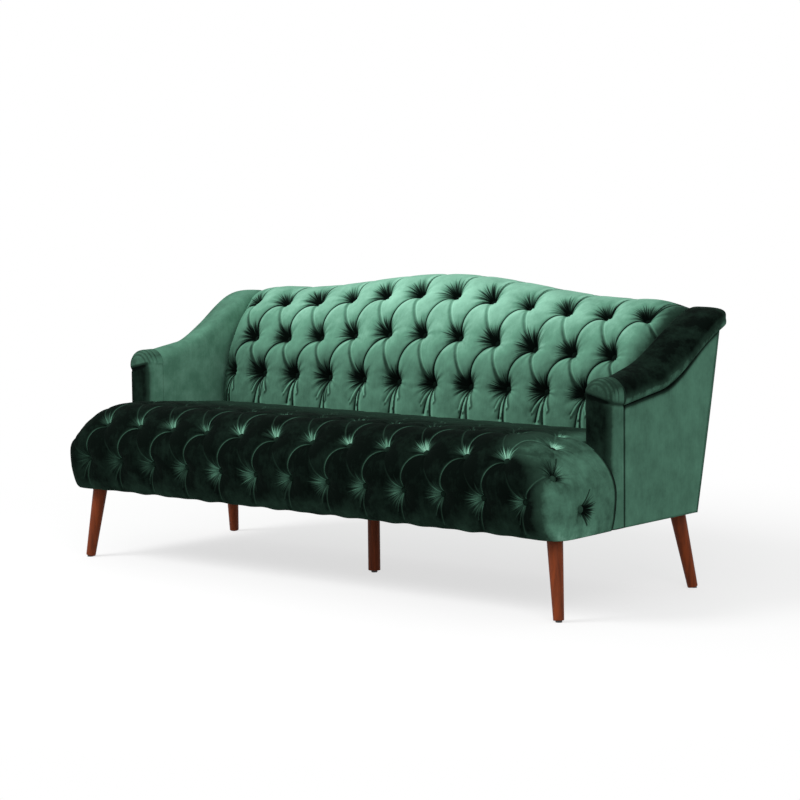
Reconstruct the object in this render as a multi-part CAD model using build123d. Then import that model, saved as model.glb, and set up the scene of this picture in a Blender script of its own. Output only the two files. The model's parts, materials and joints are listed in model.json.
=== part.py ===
from build123d import *
from math import cos, hypot, pi, radians, sin, tan
import os

# Three-seat camel-back sofa in buttoned velvet on splayed turned legs, in millimetres.
# X runs along the sofa, Y to the rear and Z up. The origin is on the floor under its middle.

# Body
body_width = 1834.0             # across the two outside arm panels
arm_width = 91.0                # inside face to outside panel of one arm
arm_front = -139.0              # front face of the arms
frame_bottom = 222.0            # underside of the frame above the floor
cover_drop = 4.0                # velvet edge below the underside of the frame
panel_thickness = 4.0           # outside arm and back panels
rail_height = 96.0
rail_thickness = 28.0

# Seat
ear_overhang = 19.0             # crown of an ear beyond the outside arm panel
seat_front = -427.0             # crown of the front
seat_rear = 128.0               # where the seat meets the inside back
seat_top = 486.0                # crown of the top, behind the rolled edge
seat_fall = 34.0                # slope of the top down to the inside back
seat_roll = 130.0               # radius of the rolled front edge
seat_tuck = 39.0                # how far the front draws in at its bottom edge
ear_round = 236.0               # length of each ear's rounded shoulder
ear_drop = 120.0                # height of that shoulder
ear_tuck = 16.0                 # how far the ear's side draws in at its bottom edge
ear_corner = 70.0               # plan radius of the ear's front corner
seat_front_layer = 37.0         # buttoned layer over the firm foam
seat_top_layer = 24.0
seat_tuck_layer = 12.0
front_foam = 36.0               # firm foam in front of the front rail
deck_rise = 16.0                # top of the deck cloth above the rails
deck_cloth = 2.0

# Back
back_foot = 288.0               # rear face at the underside of the frame
back_rake = radians(12.4)
back_bottom = 350.0             # lower edge of the inside back
shoulder_height = 804.0         # top of the back beside the hump
camel_rise = 55.0               # hump over the shoulders
camel_foot = 176.0              # foot of the hump to the inside of an arm
shoulder_drop = 24.0            # fall of the shoulder towards each arm
shoulder_length = 126.0
back_layer = 36.0               # buttoned layer over the firm foam
crest_setback = 55.0            # crest in front of the rear face
crest_soften = 8.0              # fall of the crest's front shoulder
lip_fullness = (8.0, 14.0)      # roundness of the top's rear lip, to the rear and up
camel_steps = 4                 # lofted sections from the middle to the hump's foot
shoulder_step = 0.546           # place of one more section on the shoulder
webbing_thickness = 2.0
post_width = 40.0
top_rail_depth = 78.0
rail_clearance = 3.0            # top rail and outside back under the cover
upright_width = 45.0

# Buttons
button_bays = 12                # button pitches between the arms
button_radius = 11.0
button_height = 7.0
button_flat = 3.0               # radius of the flat at the top of the dome
dimple_flare = 0.65             # growth of a dimple's radius over its depth
soft_clearance = 0.3
dimple_clearance = 1.0          # dimple round its button
back_row_reach = (0.052, 0.283, 0.722)      # share of the foam's lean to the rear
back_row_rise = (0.170, 0.497, 0.821)       # share of the height over the seat
back_row_normal = ((0.97, 0.22), (0.88, 0.47), (0.72, 0.69))    # forwards and up
back_row_lift = (0.0, 0.62, 0.8)    # share of the hump that a row follows
back_row_count = (12, 11, 12)
front_row_z = 312.0             # seat row on the front face
front_row_count = 13
roll_row_angle = radians(142.0)     # seat row on the rolled edge, from the rear
roll_row_count = 12
top_row_start = -261.0          # first seat row on the top
top_row_pitch = 114.0
top_row_count = (13, 12, 11)
ear_button_y = -290.0
ear_button_z = 294.0
roll_end_inset = 41.0           # last button of the rolled edge, in from the ear's crown

# Arms
arm_pad = 18.0
arm_front_pad = 16.0
arm_front_depth = 62.0          # how far the front cap reaches back
arm_height = 621.0              # top line just behind the front cap
arm_slope = 0.17
arm_rise = 88.0                 # extra rise of the swoop up to the back
swoop_start = 70.0
swoop_end = 330.0
roll_shoulder = 40.0            # height of the roll's inner shoulder
roll_front_drop = 72.0          # top line to the seam under the roll
seam_slope = 0.115
seam_rise = 135.0               # swoop of the seam under the roll
seam_start = 130.0
seam_end = 400.0
roll_tuck = 0.6                 # fall of the roll's underside where it meets the seam
arm_steps = 9                   # lofted spans along an arm
arm_crowding = 1.4              # power that crowds those spans to the front
wood_clearance = 2.6            # arm frame and panel under the arm's pad
roll_front_overhang = 9.0       # roll beyond the outside arm panel
roll_rear_overhang = 41.0
roll_belly = 34.0               # depth of the roll's widest point under its top
arm_cap_flat = 7.0              # flat on top of the arm's front cap, between its rounds
arm_edge_round = 30.0           # radius of the front cap's outer corner
arm_beam_depth = 42.0
arm_post_depth = 32.0
tack_rail_height = 40.0
tack_rail_thickness = 28.0
lining_thickness = 3.0

# Legs
foot_inset = 24.0               # foot centres on the floor, in from the outside arm panels
front_foot_y = -340.0
rear_foot_y = 302.0
centre_foot_y = -38.0
leg_splay_x = 29.0              # foot beyond the top of the leg
front_splay_y = 23.0
rear_splay_y = 42.0
leg_top_diameter = 44.0
leg_foot_diameter = 29.0
centre_leg_diameter = 36.0
leg_edge_round = 2.0
glide_diameter = 18.0
glide_height = 5.0
plate_size = 66.0
plate_thickness = 3.0
plate_shift = 14.0              # plate's middle from its splayed leg, towards the middle of the sofa
plate_boss = 5.5                # plate to leg top, at the middle
bolt_diameter = 8.0
bolt_depth = 28.0               # into the leg, and as far into the frame
bolt_clearance = 0.2
screw_inset = 7.0               # screw centre from the plate's edge
screw_diameter = 4.0
screw_head_diameter = 8.0
screw_head_height = 2.0
screw_length = 20.0
block_leg = 125.0               # side of a triangular corner block
block_height = 55.0
stretcher_width = 72.0          # carries the centre leg's plate
stretcher_height = 70.0
dust_cloth = 1.0

# Springs and webbing
spring_count = 11
spring_wire = 4.0
spring_half_width = 22.0
spring_waves = 8
clip_length = 24.0
clip_wall = 2.0
web_width = 50.0
web_count = 6

# Derived places
half_body = body_width / 2
half_inside = half_body - arm_width
seat_width = body_width + 2 * ear_overhang
button_pitch = 2 * half_inside / button_bays
roll_end_x = seat_width / 2 - roll_end_inset
camel_half_span = half_inside - camel_foot
foot_x = half_body - foot_inset
frame_side = half_body - panel_thickness
seat_bottom = frame_bottom - cover_drop
rail_top = frame_bottom + rail_height
deck_top = rail_top + deck_rise
ear_layer = seat_width / 2 - frame_side
front_rail_front = seat_front + seat_front_layer + front_foam
front_rail_back = front_rail_front + rail_thickness
side_rail_inner = frame_side - rail_thickness
cross_stretcher_x = side_rail_inner / 2
post_inner = frame_side - post_width
arm_frame_inner = half_inside + arm_pad
arm_wood_inner = arm_frame_inner + lining_thickness
arm_cap_back = arm_front + arm_front_depth
arm_cap_round = (arm_width - arm_cap_flat) / 2
arm_post_front = arm_front + arm_front_pad
arm_post_back = arm_post_front + arm_post_depth
frame_front_offset = panel_thickness + rail_thickness
foam_offset = frame_front_offset + webbing_thickness
far = 2 * body_width

parts = {}


def box(x0, x1, y0, y1, z0, z1):
    """Block between two corners."""
    return Pos((x0 + x1) / 2, (y0 + y1) / 2, (z0 + z1) / 2) * Box(x1 - x0, y1 - y0, z1 - z0)


def raked(v, d):
    """Side-view point at height v up the sloping rear face and d in front of it."""
    y = back_foot + v * sin(back_rake) - d * cos(back_rake)
    z = frame_bottom + v * cos(back_rake) + d * sin(back_rake)
    return (y, z)


def raked_y(z, d):
    """Y of the plane that lies d in front of the rear face, at height z."""
    return back_foot + (z - frame_bottom) * tan(back_rake) - d / cos(back_rake)


def up_the_rake(z, d):
    """Distance up the slope that reaches height z on the plane d in front of the rear face."""
    return (z - frame_bottom - d * sin(back_rake)) / cos(back_rake)


def rake_plane(d):
    """Plane d in front of the rear face, its Y axis up the slope and its normal forwards."""
    y, z = raked(0, d)
    return Plane(origin=(0, y, z), x_dir=(1, 0, 0), z_dir=(0, -cos(back_rake), sin(back_rake)))


def raked_slab(x0, x1, z0, z1, d0, d1):
    """Board between two planes parallel to the rear face, cut level at its top and bottom."""
    corners = [(raked_y(z, d), z) for z, d in ((z0, d0), (z0, d1), (z1, d1), (z1, d0))]
    return extrude(Plane.YZ.offset(x0) * make_face(Polyline(*corners, close=True)), amount=x1 - x0)


def pair(name, solid):
    """Right-hand piece, and its mirror image as the left-hand piece."""
    parts["right_" + name] = solid
    parts["left_" + name] = mirror(solid, about=Plane.YZ)


def ease(t):
    """Smooth step from 0 to 1."""
    t = min(max(t, 0.0), 1.0)
    return t * t * (3 - 2 * t)


def hump(x):
    """Lift of the camel top over the shoulder line at x."""
    rise = camel_rise * cos(pi * x / (2 * camel_half_span)) ** 2 if abs(x) < camel_half_span else 0.0
    fall = max(0.0, (abs(x) - (half_inside - shoulder_length)) / shoulder_length)
    return rise - shoulder_drop * fall ** 2


def arm_top(y):
    """Height of the arm's top line, a gentle slope and then a swoop up to the back."""
    swoop = arm_rise * ease((y - swoop_start) / (swoop_end - swoop_start))
    return arm_height + arm_slope * (y - arm_cap_back) + swoop


def arm_share(y):
    """How far y lies from the arm's front cap to the end of the seam's swoop, eased."""
    return ease((y - arm_cap_back) / (seam_end - arm_cap_back))


def roll_seam(y):
    """Height of the seam under the arm roll, a slope and a later swoop than the top line's."""
    swoop = seam_rise * ease((y - seam_start) / (seam_end - seam_start))
    return arm_height - roll_front_drop + seam_slope * (y - arm_cap_back) + swoop


def roll_edge(y):
    """Outermost X of the arm roll."""
    return half_body + roll_front_overhang + (roll_rear_overhang - roll_front_overhang) * arm_share(y)


# Seat forms

def seat_form(front_layer, top_layer, side_layer, tuck_layer, side_tuck, bottom):
    """T-shaped seat with a rolled front: its side, front and plan outlines, each carried through
    the seat, have this form in common. The layers set it in from the crown."""
    front = seat_front + front_layer
    top = seat_top - top_layer
    roll_y = seat_front + seat_roll
    roll_z = seat_top - seat_roll
    toe_y = seat_front + seat_tuck + tuck_layer
    rear_top = top - seat_fall
    side_edges = [
        EllipticalCenterArc((roll_y, roll_z), seat_roll - front_layer, seat_roll - top_layer,
                            90, arc_size=90),
        Line((front, roll_z), (toe_y, bottom)),
        Line((toe_y, bottom), (seat_rear, bottom)),
        Line((seat_rear, bottom), (seat_rear, rear_top)),
        Line((seat_rear, rear_top), (roll_y, top)),
    ]
    side = extrude(Plane.YZ * make_face(side_edges), amount=far, both=True)
    half = seat_width / 2 - side_layer
    ear_x = seat_width / 2 - ear_round
    ear_z = seat_top - ear_drop
    a = ear_round - side_layer
    b = ear_drop - top_layer
    front_edges = [
        Line((-ear_x, top), (ear_x, top)),
        EllipticalCenterArc((ear_x, ear_z), a, b, 0, arc_size=90),
        Line((half, ear_z), (half - side_tuck, bottom)),
        Line((half - side_tuck, bottom), (side_tuck - half, bottom)),
        Line((side_tuck - half, bottom), (-half, ear_z)),
        EllipticalCenterArc((-ear_x, ear_z), a, b, 90, arc_size=90),
    ]
    face_on = extrude(Plane.XZ * make_face(front_edges), amount=far, both=True)
    ears = Rectangle(2 * half, arm_front - front, align=(Align.CENTER, Align.MIN))
    ears = fillet(ears.vertices().group_by(Axis.Y)[0], ear_corner - side_layer)
    body = Rectangle(2 * half_inside, seat_rear - arm_front, align=(Align.CENTER, Align.MIN))
    plan = Pos(0, front) * ears + Pos(0, arm_front) * body
    return side & face_on & extrude(plan, amount=far, both=True)


def centred_row(count):
    """X of the buttons of a row, centred on the sofa."""
    return [button_pitch * (i - (count - 1) / 2) for i in range(count)]


def seat_button_places():
    """Seat on the firm foam, and outward direction, of each seat button."""
    front_y = seat_front + seat_front_layer
    roll_y = seat_front + seat_roll
    roll_z = seat_top - seat_roll
    toe_y = seat_front + seat_tuck + seat_tuck_layer
    foam_toe = (toe_y - front_y) / roll_z
    foam_top = seat_top - seat_top_layer
    ear_x = seat_width / 2 - ear_round
    ear_z = seat_top - ear_drop
    ear_a = ear_round - ear_layer
    ear_b = ear_drop - seat_top_layer
    places = []
    front_point_y = front_y + foam_toe * (roll_z - front_row_z)
    for x in centred_row(front_row_count):
        places.append(((x, front_point_y, front_row_z), (0, -1, -foam_toe)))
    roll_a = seat_roll - seat_front_layer
    roll_b = seat_roll - seat_top_layer
    roll_point = (roll_y + roll_a * cos(roll_row_angle), roll_z + roll_b * sin(roll_row_angle))
    roll_normal = (0, cos(roll_row_angle) / roll_a, sin(roll_row_angle) / roll_b)
    for x in centred_row(roll_row_count):
        places.append(((x, *roll_point), roll_normal))
    slope = seat_fall / (seat_rear - roll_y)
    for row, count in enumerate(top_row_count):
        row_y = top_row_start + top_row_pitch * row
        level = foam_top - slope * (row_y - roll_y)
        for x in centred_row(count):
            out = max(0.0, (abs(x) - ear_x) / ear_a)
            shoulder = ear_z + ear_b * (1 - out ** 2) ** 0.5
            if level < shoulder:
                places.append(((x, row_y, level), (0, slope, 1)))
            else:
                lean = out / ear_a * (1 if x > 0 else -1)
                places.append(((x, row_y, shoulder), (lean, 0, (shoulder - ear_z) / ear_b ** 2)))
    for side in (-1, 1):
        out = (roll_end_x - ear_x) / ear_a
        end_z = ear_z + ear_b * (1 - out ** 2) ** 0.5
        end_y = roll_y - roll_a * (1 - ((end_z - roll_z) / roll_b) ** 2) ** 0.5
        end_normal = (side * out / ear_a, (end_y - roll_y) / roll_a ** 2, (end_z - roll_z) / roll_b ** 2)
        places.append(((side * roll_end_x, end_y, end_z), end_normal))
        places.append(((side * frame_side, ear_button_y, ear_button_z), (side, 0, 0)))
    return places


# Back forms

def lifted(point, lift, x):
    """Side-view point raised by its share of the hump at x."""
    return (point[0], point[1] + lift * hump(x))


foam_shoulder = shoulder_height - back_layer
foam_shoulder_y = raked_y(foam_shoulder, foam_offset) - back_layer
foam_base_y = seat_rear + back_layer
crest_y = raked_y(foam_shoulder, 0) - crest_setback
back_row_y = [foam_base_y + reach * (foam_shoulder_y - foam_base_y) for reach in back_row_reach]
back_row_z = [seat_top + rise * (shoulder_height - seat_top) for rise in back_row_rise]


def back_foam_curve(x):
    """Front of the firm back foam at x, from the top down: the line that the buttons sit on."""
    points = [lifted((foam_shoulder_y, foam_shoulder), 1, x)]
    for y, z, lift in reversed(list(zip(back_row_y, back_row_z, back_row_lift))):
        points.append(lifted((y, z), lift, x))
    points.append((foam_base_y, seat_top - seat_top_layer))
    return Spline(*points)


def back_cover_section(x):
    """Buttoned layer of the back at x, a band over the front and top of the firm foam."""
    inner = back_foam_curve(x)
    crown = [(seat_rear, seat_top - seat_top_layer)]
    for y, z, lift, normal in zip(back_row_y, back_row_z, back_row_lift, back_row_normal):
        crown.append(lifted((y - back_layer * normal[0], z + back_layer * normal[1]), lift, x))
    crown.append(lifted(((crown[-1][0] + crest_y) / 2, shoulder_height - crest_soften), 1, x))
    crown.append(lifted((crest_y, shoulder_height), 1, x))
    foam_top = lifted((raked_y(foam_shoulder, foam_offset), foam_shoulder), 1, x)
    lip = raked(up_the_rake(foam_top[1], foam_offset), 0)
    crest_z = shoulder_height + hump(x)
    crown.append(((crest_y + lip[0]) / 2 + lip_fullness[0], (crest_z + lip[1]) / 2 + lip_fullness[1]))
    crown.append(lip)
    outer = Spline(*crown)
    edges = [
        Line((seat_rear, back_bottom), crown[0]),
        outer,
        Line(lip, foam_top),
        Line(foam_top, inner @ 0),
        inner,
        Line(inner @ 1, (foam_base_y, back_bottom)),
        Line((foam_base_y, back_bottom), (seat_rear, back_bottom)),
    ]
    return Plane.YZ.offset(x) * make_face(edges)


def back_foam_section(x):
    """Firm back foam at x, between the webbing and the buttoned layer."""
    inner = back_foam_curve(x)
    foam_top_z = foam_shoulder + hump(x)
    foam_top = (raked_y(foam_top_z, foam_offset), foam_top_z)
    heel = (raked_y(back_bottom, foam_offset), back_bottom)
    edges = [
        Line(foam_top, inner @ 0),
        inner,
        Line(inner @ 1, (foam_base_y, back_bottom)),
        Line((foam_base_y, back_bottom), heel),
        Line(heel, foam_top),
    ]
    return Plane.YZ.offset(x) * make_face(edges)


def back_stations():
    """X of the sections that carry the camel shape."""
    inner = [camel_half_span * (i + 1) / camel_steps for i in range(camel_steps)]
    right = inner + [half_inside - shoulder_step * shoulder_length, half_inside]
    return [-x for x in reversed(right)] + [0.0] + right


def back_button_places():
    """Seat on the firm foam, and outward direction, of each back button."""
    places = []
    for y, z, lift, count in zip(back_row_y, back_row_z, back_row_lift, back_row_count):
        for x in centred_row(count):
            point = lifted((y, z), lift, x)
            curve = back_foam_curve(x)
            tangent = curve % curve.param_at_point(Vector(*point))
            slope = (hump(x + button_radius) - hump(x - button_radius)) / (2 * button_radius)
            places.append(((x, *point), (lift * slope * tangent.X, tangent.Y, -tangent.X)))
    return places


def outward(place):
    """Plane at a button's seat, its normal along the outward direction."""
    point, normal = place
    size = hypot(*normal)
    seat = [p + soft_clearance * n / size for p, n in zip(point, normal)]
    return Plane(origin=seat, z_dir=normal)


def dimples(places, depth):
    """Funnels that the buttons pull into a soft layer, each open well past the crown."""
    reach = 2 * depth
    seat = button_radius + dimple_clearance
    mouth = seat + dimple_flare * reach
    funnel = Cone(seat, mouth, reach, align=(Align.CENTER, Align.CENTER, Align.MIN))
    return [outward(place) * (Pos(0, 0, -dimple_clearance) * funnel) for place in places]


def buttons(places):
    """Covered buttons, each a flat-backed dome on its seat."""
    dome = [
        Line((0, 0), (button_radius, 0)),
        TangentArc((button_radius, 0), (button_flat, button_height), tangent=(0, 1)),
        Line((button_flat, button_height), (0, button_height)),
        Line((0, button_height), (0, 0)),
    ]
    button = revolve(Plane.XZ * make_face(dome), Axis.Z)
    return Compound([outward(place) * button for place in places])


# Legs

def leg_axis(foot, splay):
    """Plane at a foot's centre on the floor with its normal up the leg."""
    rise = frame_bottom - plate_thickness - plate_boss
    return Plane(origin=(*foot, 0), z_dir=(-splay[0], -splay[1], rise))


def leg_length(splay):
    """Distance along a leg's axis from the floor to its top."""
    return hypot(splay[0], splay[1], frame_bottom - plate_thickness - plate_boss)


def rod(plane, radius, start, end):
    """Round bar along a plane's normal between two distances from its origin."""
    bar = Cylinder(radius, end - start, align=(Align.CENTER, Align.CENTER, Align.MIN))
    return plane * (Pos(0, 0, start) * bar)


def turned_leg(foot, splay, top_diameter, foot_diameter):
    """Tapered turned leg, square to its own axis at both ends, bored for its bolt."""
    length = leg_length(splay)
    profile = Polyline((0, glide_height), (foot_diameter / 2, glide_height), (top_diameter / 2, length),
                       (0, length), close=True)
    leg = revolve(Plane.XZ * make_face(profile), Axis.Z)
    leg = fillet(leg.edges().group_by(Axis.Z)[0], leg_edge_round)
    bore = rod(Plane.XY, bolt_diameter / 2 + bolt_clearance, length - bolt_depth - 1, length)
    return leg_axis(foot, splay) * (leg - bore)


def glide(foot, splay):
    """Glide along the leg's axis, cut level with the floor."""
    block = rod(leg_axis(foot, splay), glide_diameter / 2, -glide_height, glide_height)
    return block - box(-far, far, -far, far, -far, 0)


def leg_top(foot, splay):
    """Point where a leg's axis meets the underside of the frame."""
    share = frame_bottom / (frame_bottom - plate_thickness - plate_boss)
    return (foot[0] - splay[0] * share, foot[1] - splay[1] * share)


def plate_centre(foot, splay):
    """Middle of a leg's plate, set back from the edge of the frame on a splayed leg."""
    x, y = leg_top(foot, splay)
    turn = 0 if splay[1] == 0 else (1 if splay[1] < 0 else -1)
    return (x, y + turn * plate_shift)


def screw_places(foot, splay):
    """Screw centres at the corners of a leg's plate."""
    x, y = plate_centre(foot, splay)
    reach = plate_size / 2 - screw_inset
    return [(x + sx * reach, y + sy * reach) for sx in (-1, 1) for sy in (-1, 1)]


def leg_plate(foot, splay, diameter):
    """Steel plate with a wedge boss square to its leg, drilled for the bolt and four screws."""
    x, y = plate_centre(foot, splay)
    under = frame_bottom - plate_thickness
    plate = Pos(x, y, under + plate_thickness / 2) * Box(plate_size, plate_size, plate_thickness)
    axis = leg_axis(foot, splay)
    length = leg_length(splay)
    boss = rod(axis, diameter / 2, length, length + 4 * plate_boss) - box(-far, far, -far, far, under, far)
    plate = plate + boss - rod(axis, bolt_diameter / 2 + bolt_clearance, 0, 2 * length)
    for sx, sy in screw_places(foot, splay):
        plate -= Pos(sx, sy, under) * Cylinder(screw_diameter / 2 + bolt_clearance, 4 * plate_thickness)
    return plate


def screw(x, y):
    """Pan-head screw up through a plate into the frame."""
    head = upright_bar(x, y, screw_head_diameter, frame_bottom - plate_thickness - screw_head_height,
                      screw_head_height)
    shank = upright_bar(x, y, screw_diameter, frame_bottom - plate_thickness, screw_length)
    return head + shank


def upright_bar(x, y, diameter, z, height):
    """Upright round bar that starts at z."""
    return Pos(x, y, z) * Cylinder(diameter / 2, height, align=(Align.CENTER, Align.CENTER, Align.MIN))


front_splay = (leg_splay_x, -front_splay_y)
rear_splay = (leg_splay_x, rear_splay_y)
right_legs = {
    "front_leg": ((foot_x, front_foot_y), front_splay),
    "rear_leg": ((foot_x, rear_foot_y), rear_splay),
}
legs = []
for name, (foot, splay) in right_legs.items():
    pair(name, turned_leg(foot, splay, leg_top_diameter, leg_foot_diameter))
    legs.append((foot, splay, leg_top_diameter))
    legs.append(((-foot[0], foot[1]), (-splay[0], splay[1]), leg_top_diameter))
centre_foot = (0.0, centre_foot_y)
legs.append((centre_foot, (0.0, 0.0), centre_leg_diameter))
parts["centre_leg"] = turned_leg(centre_foot, (0.0, 0.0), centre_leg_diameter, centre_leg_diameter)
parts["foot_glides"] = Compound([glide(foot, splay) for foot, splay, size in legs])
parts["leg_plates"] = Compound([leg_plate(*leg) for leg in legs])
bolts = []
bores = []
for foot, splay, size in legs:
    top = leg_length(splay)
    axis = leg_axis(foot, splay)
    bolts.append(rod(axis, bolt_diameter / 2, top - bolt_depth, top + bolt_depth))
    bores.append(rod(axis, bolt_diameter / 2 + bolt_clearance, top - bolt_depth, top + bolt_depth + 1))
    for place in screw_places(foot, splay):
        bores.append(upright_bar(*place, screw_diameter + bolt_clearance, 0, frame_bottom + screw_length))
parts["leg_bolts"] = Compound(bolts)
all_screws = [place for foot, splay, size in legs for place in screw_places(foot, splay)]
parts["leg_plate_screws"] = Compound([screw(*place) for place in all_screws])

# Base frame
wood = {}
wood["front_rail"] = box(-frame_side, frame_side, front_rail_front, front_rail_back, frame_bottom, rail_top)
wood["rear_rail"] = raked_slab(-post_inner, post_inner, frame_bottom, rail_top,
                               panel_thickness, frame_front_offset)
behind_frame_front = raked_slab(-far, far, -far, far, -far, frame_front_offset)
side_rail = box(side_rail_inner, frame_side, front_rail_back, far, frame_bottom, rail_top)
side_rail -= behind_frame_front
stretcher = box(-stretcher_width / 2, stretcher_width / 2, front_rail_back, far,
                frame_bottom, frame_bottom + stretcher_height) - behind_frame_front
wood["centre_stretcher"] = stretcher
wood["cross_stretchers"] = Compound([Pos(side * cross_stretcher_x, 0, 0) * stretcher for side in (-1, 1)])
rear_corner = raked_y(frame_bottom, frame_front_offset)
front_block = Polyline((side_rail_inner, front_rail_back), (side_rail_inner - block_leg, front_rail_back),
                       (side_rail_inner, front_rail_back + block_leg), close=True)
rear_block = Polyline((side_rail_inner, far), (side_rail_inner - block_leg, far),
                      (side_rail_inner - block_leg, rear_corner), (side_rail_inner, rear_corner - block_leg),
                      close=True)
blocks = []
for outline in (front_block, rear_block):
    block = Pos(0, 0, frame_bottom) * extrude(make_face(outline), amount=block_height) - behind_frame_front
    blocks += [block, mirror(block, about=Plane.YZ)]
wood["corner_blocks"] = Compound(blocks)

# Back frame, all in one sloping plane
arm_end_y = raked_y(shoulder_height - shoulder_drop, foam_offset)
post_top = arm_top(arm_end_y) - arm_pad
back_post = raked_slab(post_inner, frame_side, frame_bottom, post_top, panel_thickness, frame_front_offset)
tack_bottom = back_bottom + 2 * webbing_thickness
wood["lower_back_rail"] = raked_slab(-post_inner, post_inner, tack_bottom, tack_bottom + tack_rail_height,
                                     panel_thickness, frame_front_offset)
top_edge = [(x, up_the_rake(foam_shoulder + hump(x), foam_offset) - rail_clearance) for x in back_stations()]
rail_end_v = top_edge[-1][1]
rail_low_v = up_the_rake(foam_shoulder - shoulder_drop, frame_front_offset) - top_rail_depth
camel_outline = [
    Line((-post_inner, rail_low_v), (-post_inner, rail_end_v)),
    Line((-post_inner, rail_end_v), top_edge[0]),
    Spline(*top_edge),
    Line(top_edge[-1], (post_inner, rail_end_v)),
    Line((post_inner, rail_end_v), (post_inner, rail_low_v)),
    Line((post_inner, rail_low_v), (-post_inner, rail_low_v)),
]
camel_face = rake_plane(panel_thickness) * make_face(camel_outline)
wood["back_top_rail"] = extrude(camel_face, amount=rail_thickness)
upright_face = Rectangle(upright_width, rail_low_v, align=(Align.CENTER, Align.MIN))
above_tack_rail = box(-far, far, -far, far, tack_bottom + tack_rail_height, far)
upright = extrude(rake_plane(panel_thickness) * upright_face, amount=rail_thickness) & above_tack_rail
wood["back_uprights"] = Compound([Pos(side * cross_stretcher_x, 0, 0) * upright for side in (-1, 0, 1)])

# Arm frames
arm_wood_top = arm_top(arm_cap_back) - arm_pad
arm_post = box(arm_wood_inner, frame_side, arm_post_front, arm_post_back, rail_top, arm_wood_top)
arm_post = fillet(arm_post.edges().filter_by(Axis.Y).group_by(Axis.Z)[-1], arm_cap_round - arm_pad)
arm_end = raked_y(shoulder_height, 0) + arm_width
beam_stations = [arm_post_back + (arm_end - arm_post_back) * i / arm_steps for i in range(arm_steps + 1)]
wood_drop = arm_pad + wood_clearance
beam_top = Spline(*[(y, arm_top(y) - wood_drop) for y in beam_stations])
beam_low = Spline(*[(y, arm_top(y) - wood_drop - arm_beam_depth) for y in beam_stations])
beam_edges = [beam_top, Line(beam_top @ 1, beam_low @ 1), beam_low, Line(beam_low @ 0, beam_top @ 0)]
beam_face = Plane.YZ.offset(arm_wood_inner) * make_face(beam_edges)
arm_beam = extrude(beam_face, amount=frame_side - arm_wood_inner) - behind_frame_front
tack_rail = box(arm_wood_inner, arm_wood_inner + tack_rail_thickness, arm_post_back, far,
                tack_bottom, tack_bottom + tack_rail_height) - behind_frame_front
lining_top = Spline(*[(y, arm_top(y) - wood_drop) for y in [arm_post_front] + beam_stations])
lining_edges = [
    lining_top,
    Line(lining_top @ 1, (arm_end, tack_bottom)),
    Line((arm_end, tack_bottom), (arm_post_front, tack_bottom)),
    Line((arm_post_front, tack_bottom), lining_top @ 0),
]
lining = extrude(Plane.YZ.offset(arm_frame_inner) * make_face(lining_edges), amount=lining_thickness)
lining -= behind_frame_front

for name, solid in (("side_rail", side_rail), ("back_post", back_post), ("arm_post", arm_post),
                    ("arm_top_rail", arm_beam), ("arm_tack_rail", tack_rail), ("arm_lining_board", lining)):
    wood["right_" + name] = solid
    wood["left_" + name] = mirror(solid, about=Plane.YZ)
drilled = ("front_rail", "rear_rail", "centre_stretcher", "corner_blocks", "right_side_rail",
           "left_side_rail", "right_back_post", "left_back_post")
for name, solid in wood.items():
    parts[name] = solid - bores if name in drilled else solid

# Seat springs, clips and deck cloth
spring_front = (front_rail_front + front_rail_back) / 2
spring_rear = raked_y(rail_top, (panel_thickness + frame_front_offset) / 2)
wave = (spring_rear - spring_front) / spring_waves / 2
path = []
for i in range(2 * spring_waves + 1):
    side = 1 if i % 2 else -1
    y = spring_front + wave * i
    path += [(-side * spring_half_width, y), (side * spring_half_width, y)]
spring_z = rail_top + clip_wall
zigzag = offset(Polyline(*path), amount=spring_wire / 2, side=Side.BOTH, kind=Kind.INTERSECTION)
spring = Pos(0, 0, spring_z) * extrude(make_face(zigzag), amount=spring_wire)
spring_pitch = 2 * half_inside / spring_count
spring_x = [spring_pitch * (i - (spring_count - 1) / 2) for i in range(spring_count)]
parts["seat_springs"] = Compound([Pos(x, 0, 0) * spring for x in spring_x])
clip_height = spring_wire + 2 * clip_wall
on_floor = (Align.CENTER, Align.CENTER, Align.MIN)
clip = Box(clip_length, spring_wire + 4 * clip_wall, clip_height, align=on_floor)
clip -= Pos(0, 0, clip_wall) * Box(far, spring_wire, spring_wire, align=on_floor)
clip_places = [(x, y, rail_top) for x in spring_x for y in (spring_front, spring_rear)]
parts["spring_clips"] = Compound([Pos(*place) * clip for place in clip_places])
cloth = box(-side_rail_inner, side_rail_inner, front_rail_front, far, deck_top - deck_cloth, deck_top)
for x0, x1 in ((-far, -half_inside), (half_inside, far)):
    cloth -= box(x0, x1, arm_front, arm_post_back, rail_top, far)
parts["seat_deck_cloth"] = cloth - behind_frame_front

# Back webbing, on the front of the back frame
web_span = rail_low_v + top_rail_depth / 2
web_low = box(-far, far, -far, far, -far, tack_bottom)
web_face = Rectangle(web_width, web_span, align=(Align.CENTER, Align.MIN))
web = extrude(rake_plane(frame_front_offset) * web_face, amount=webbing_thickness) - web_low
web_pitch = 2 * half_inside / web_count
web_x = [web_pitch * (i - (web_count - 1) / 2) for i in range(web_count)]
parts["back_webbing"] = Compound([Pos(x, 0, 0) * web for x in web_x])

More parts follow.
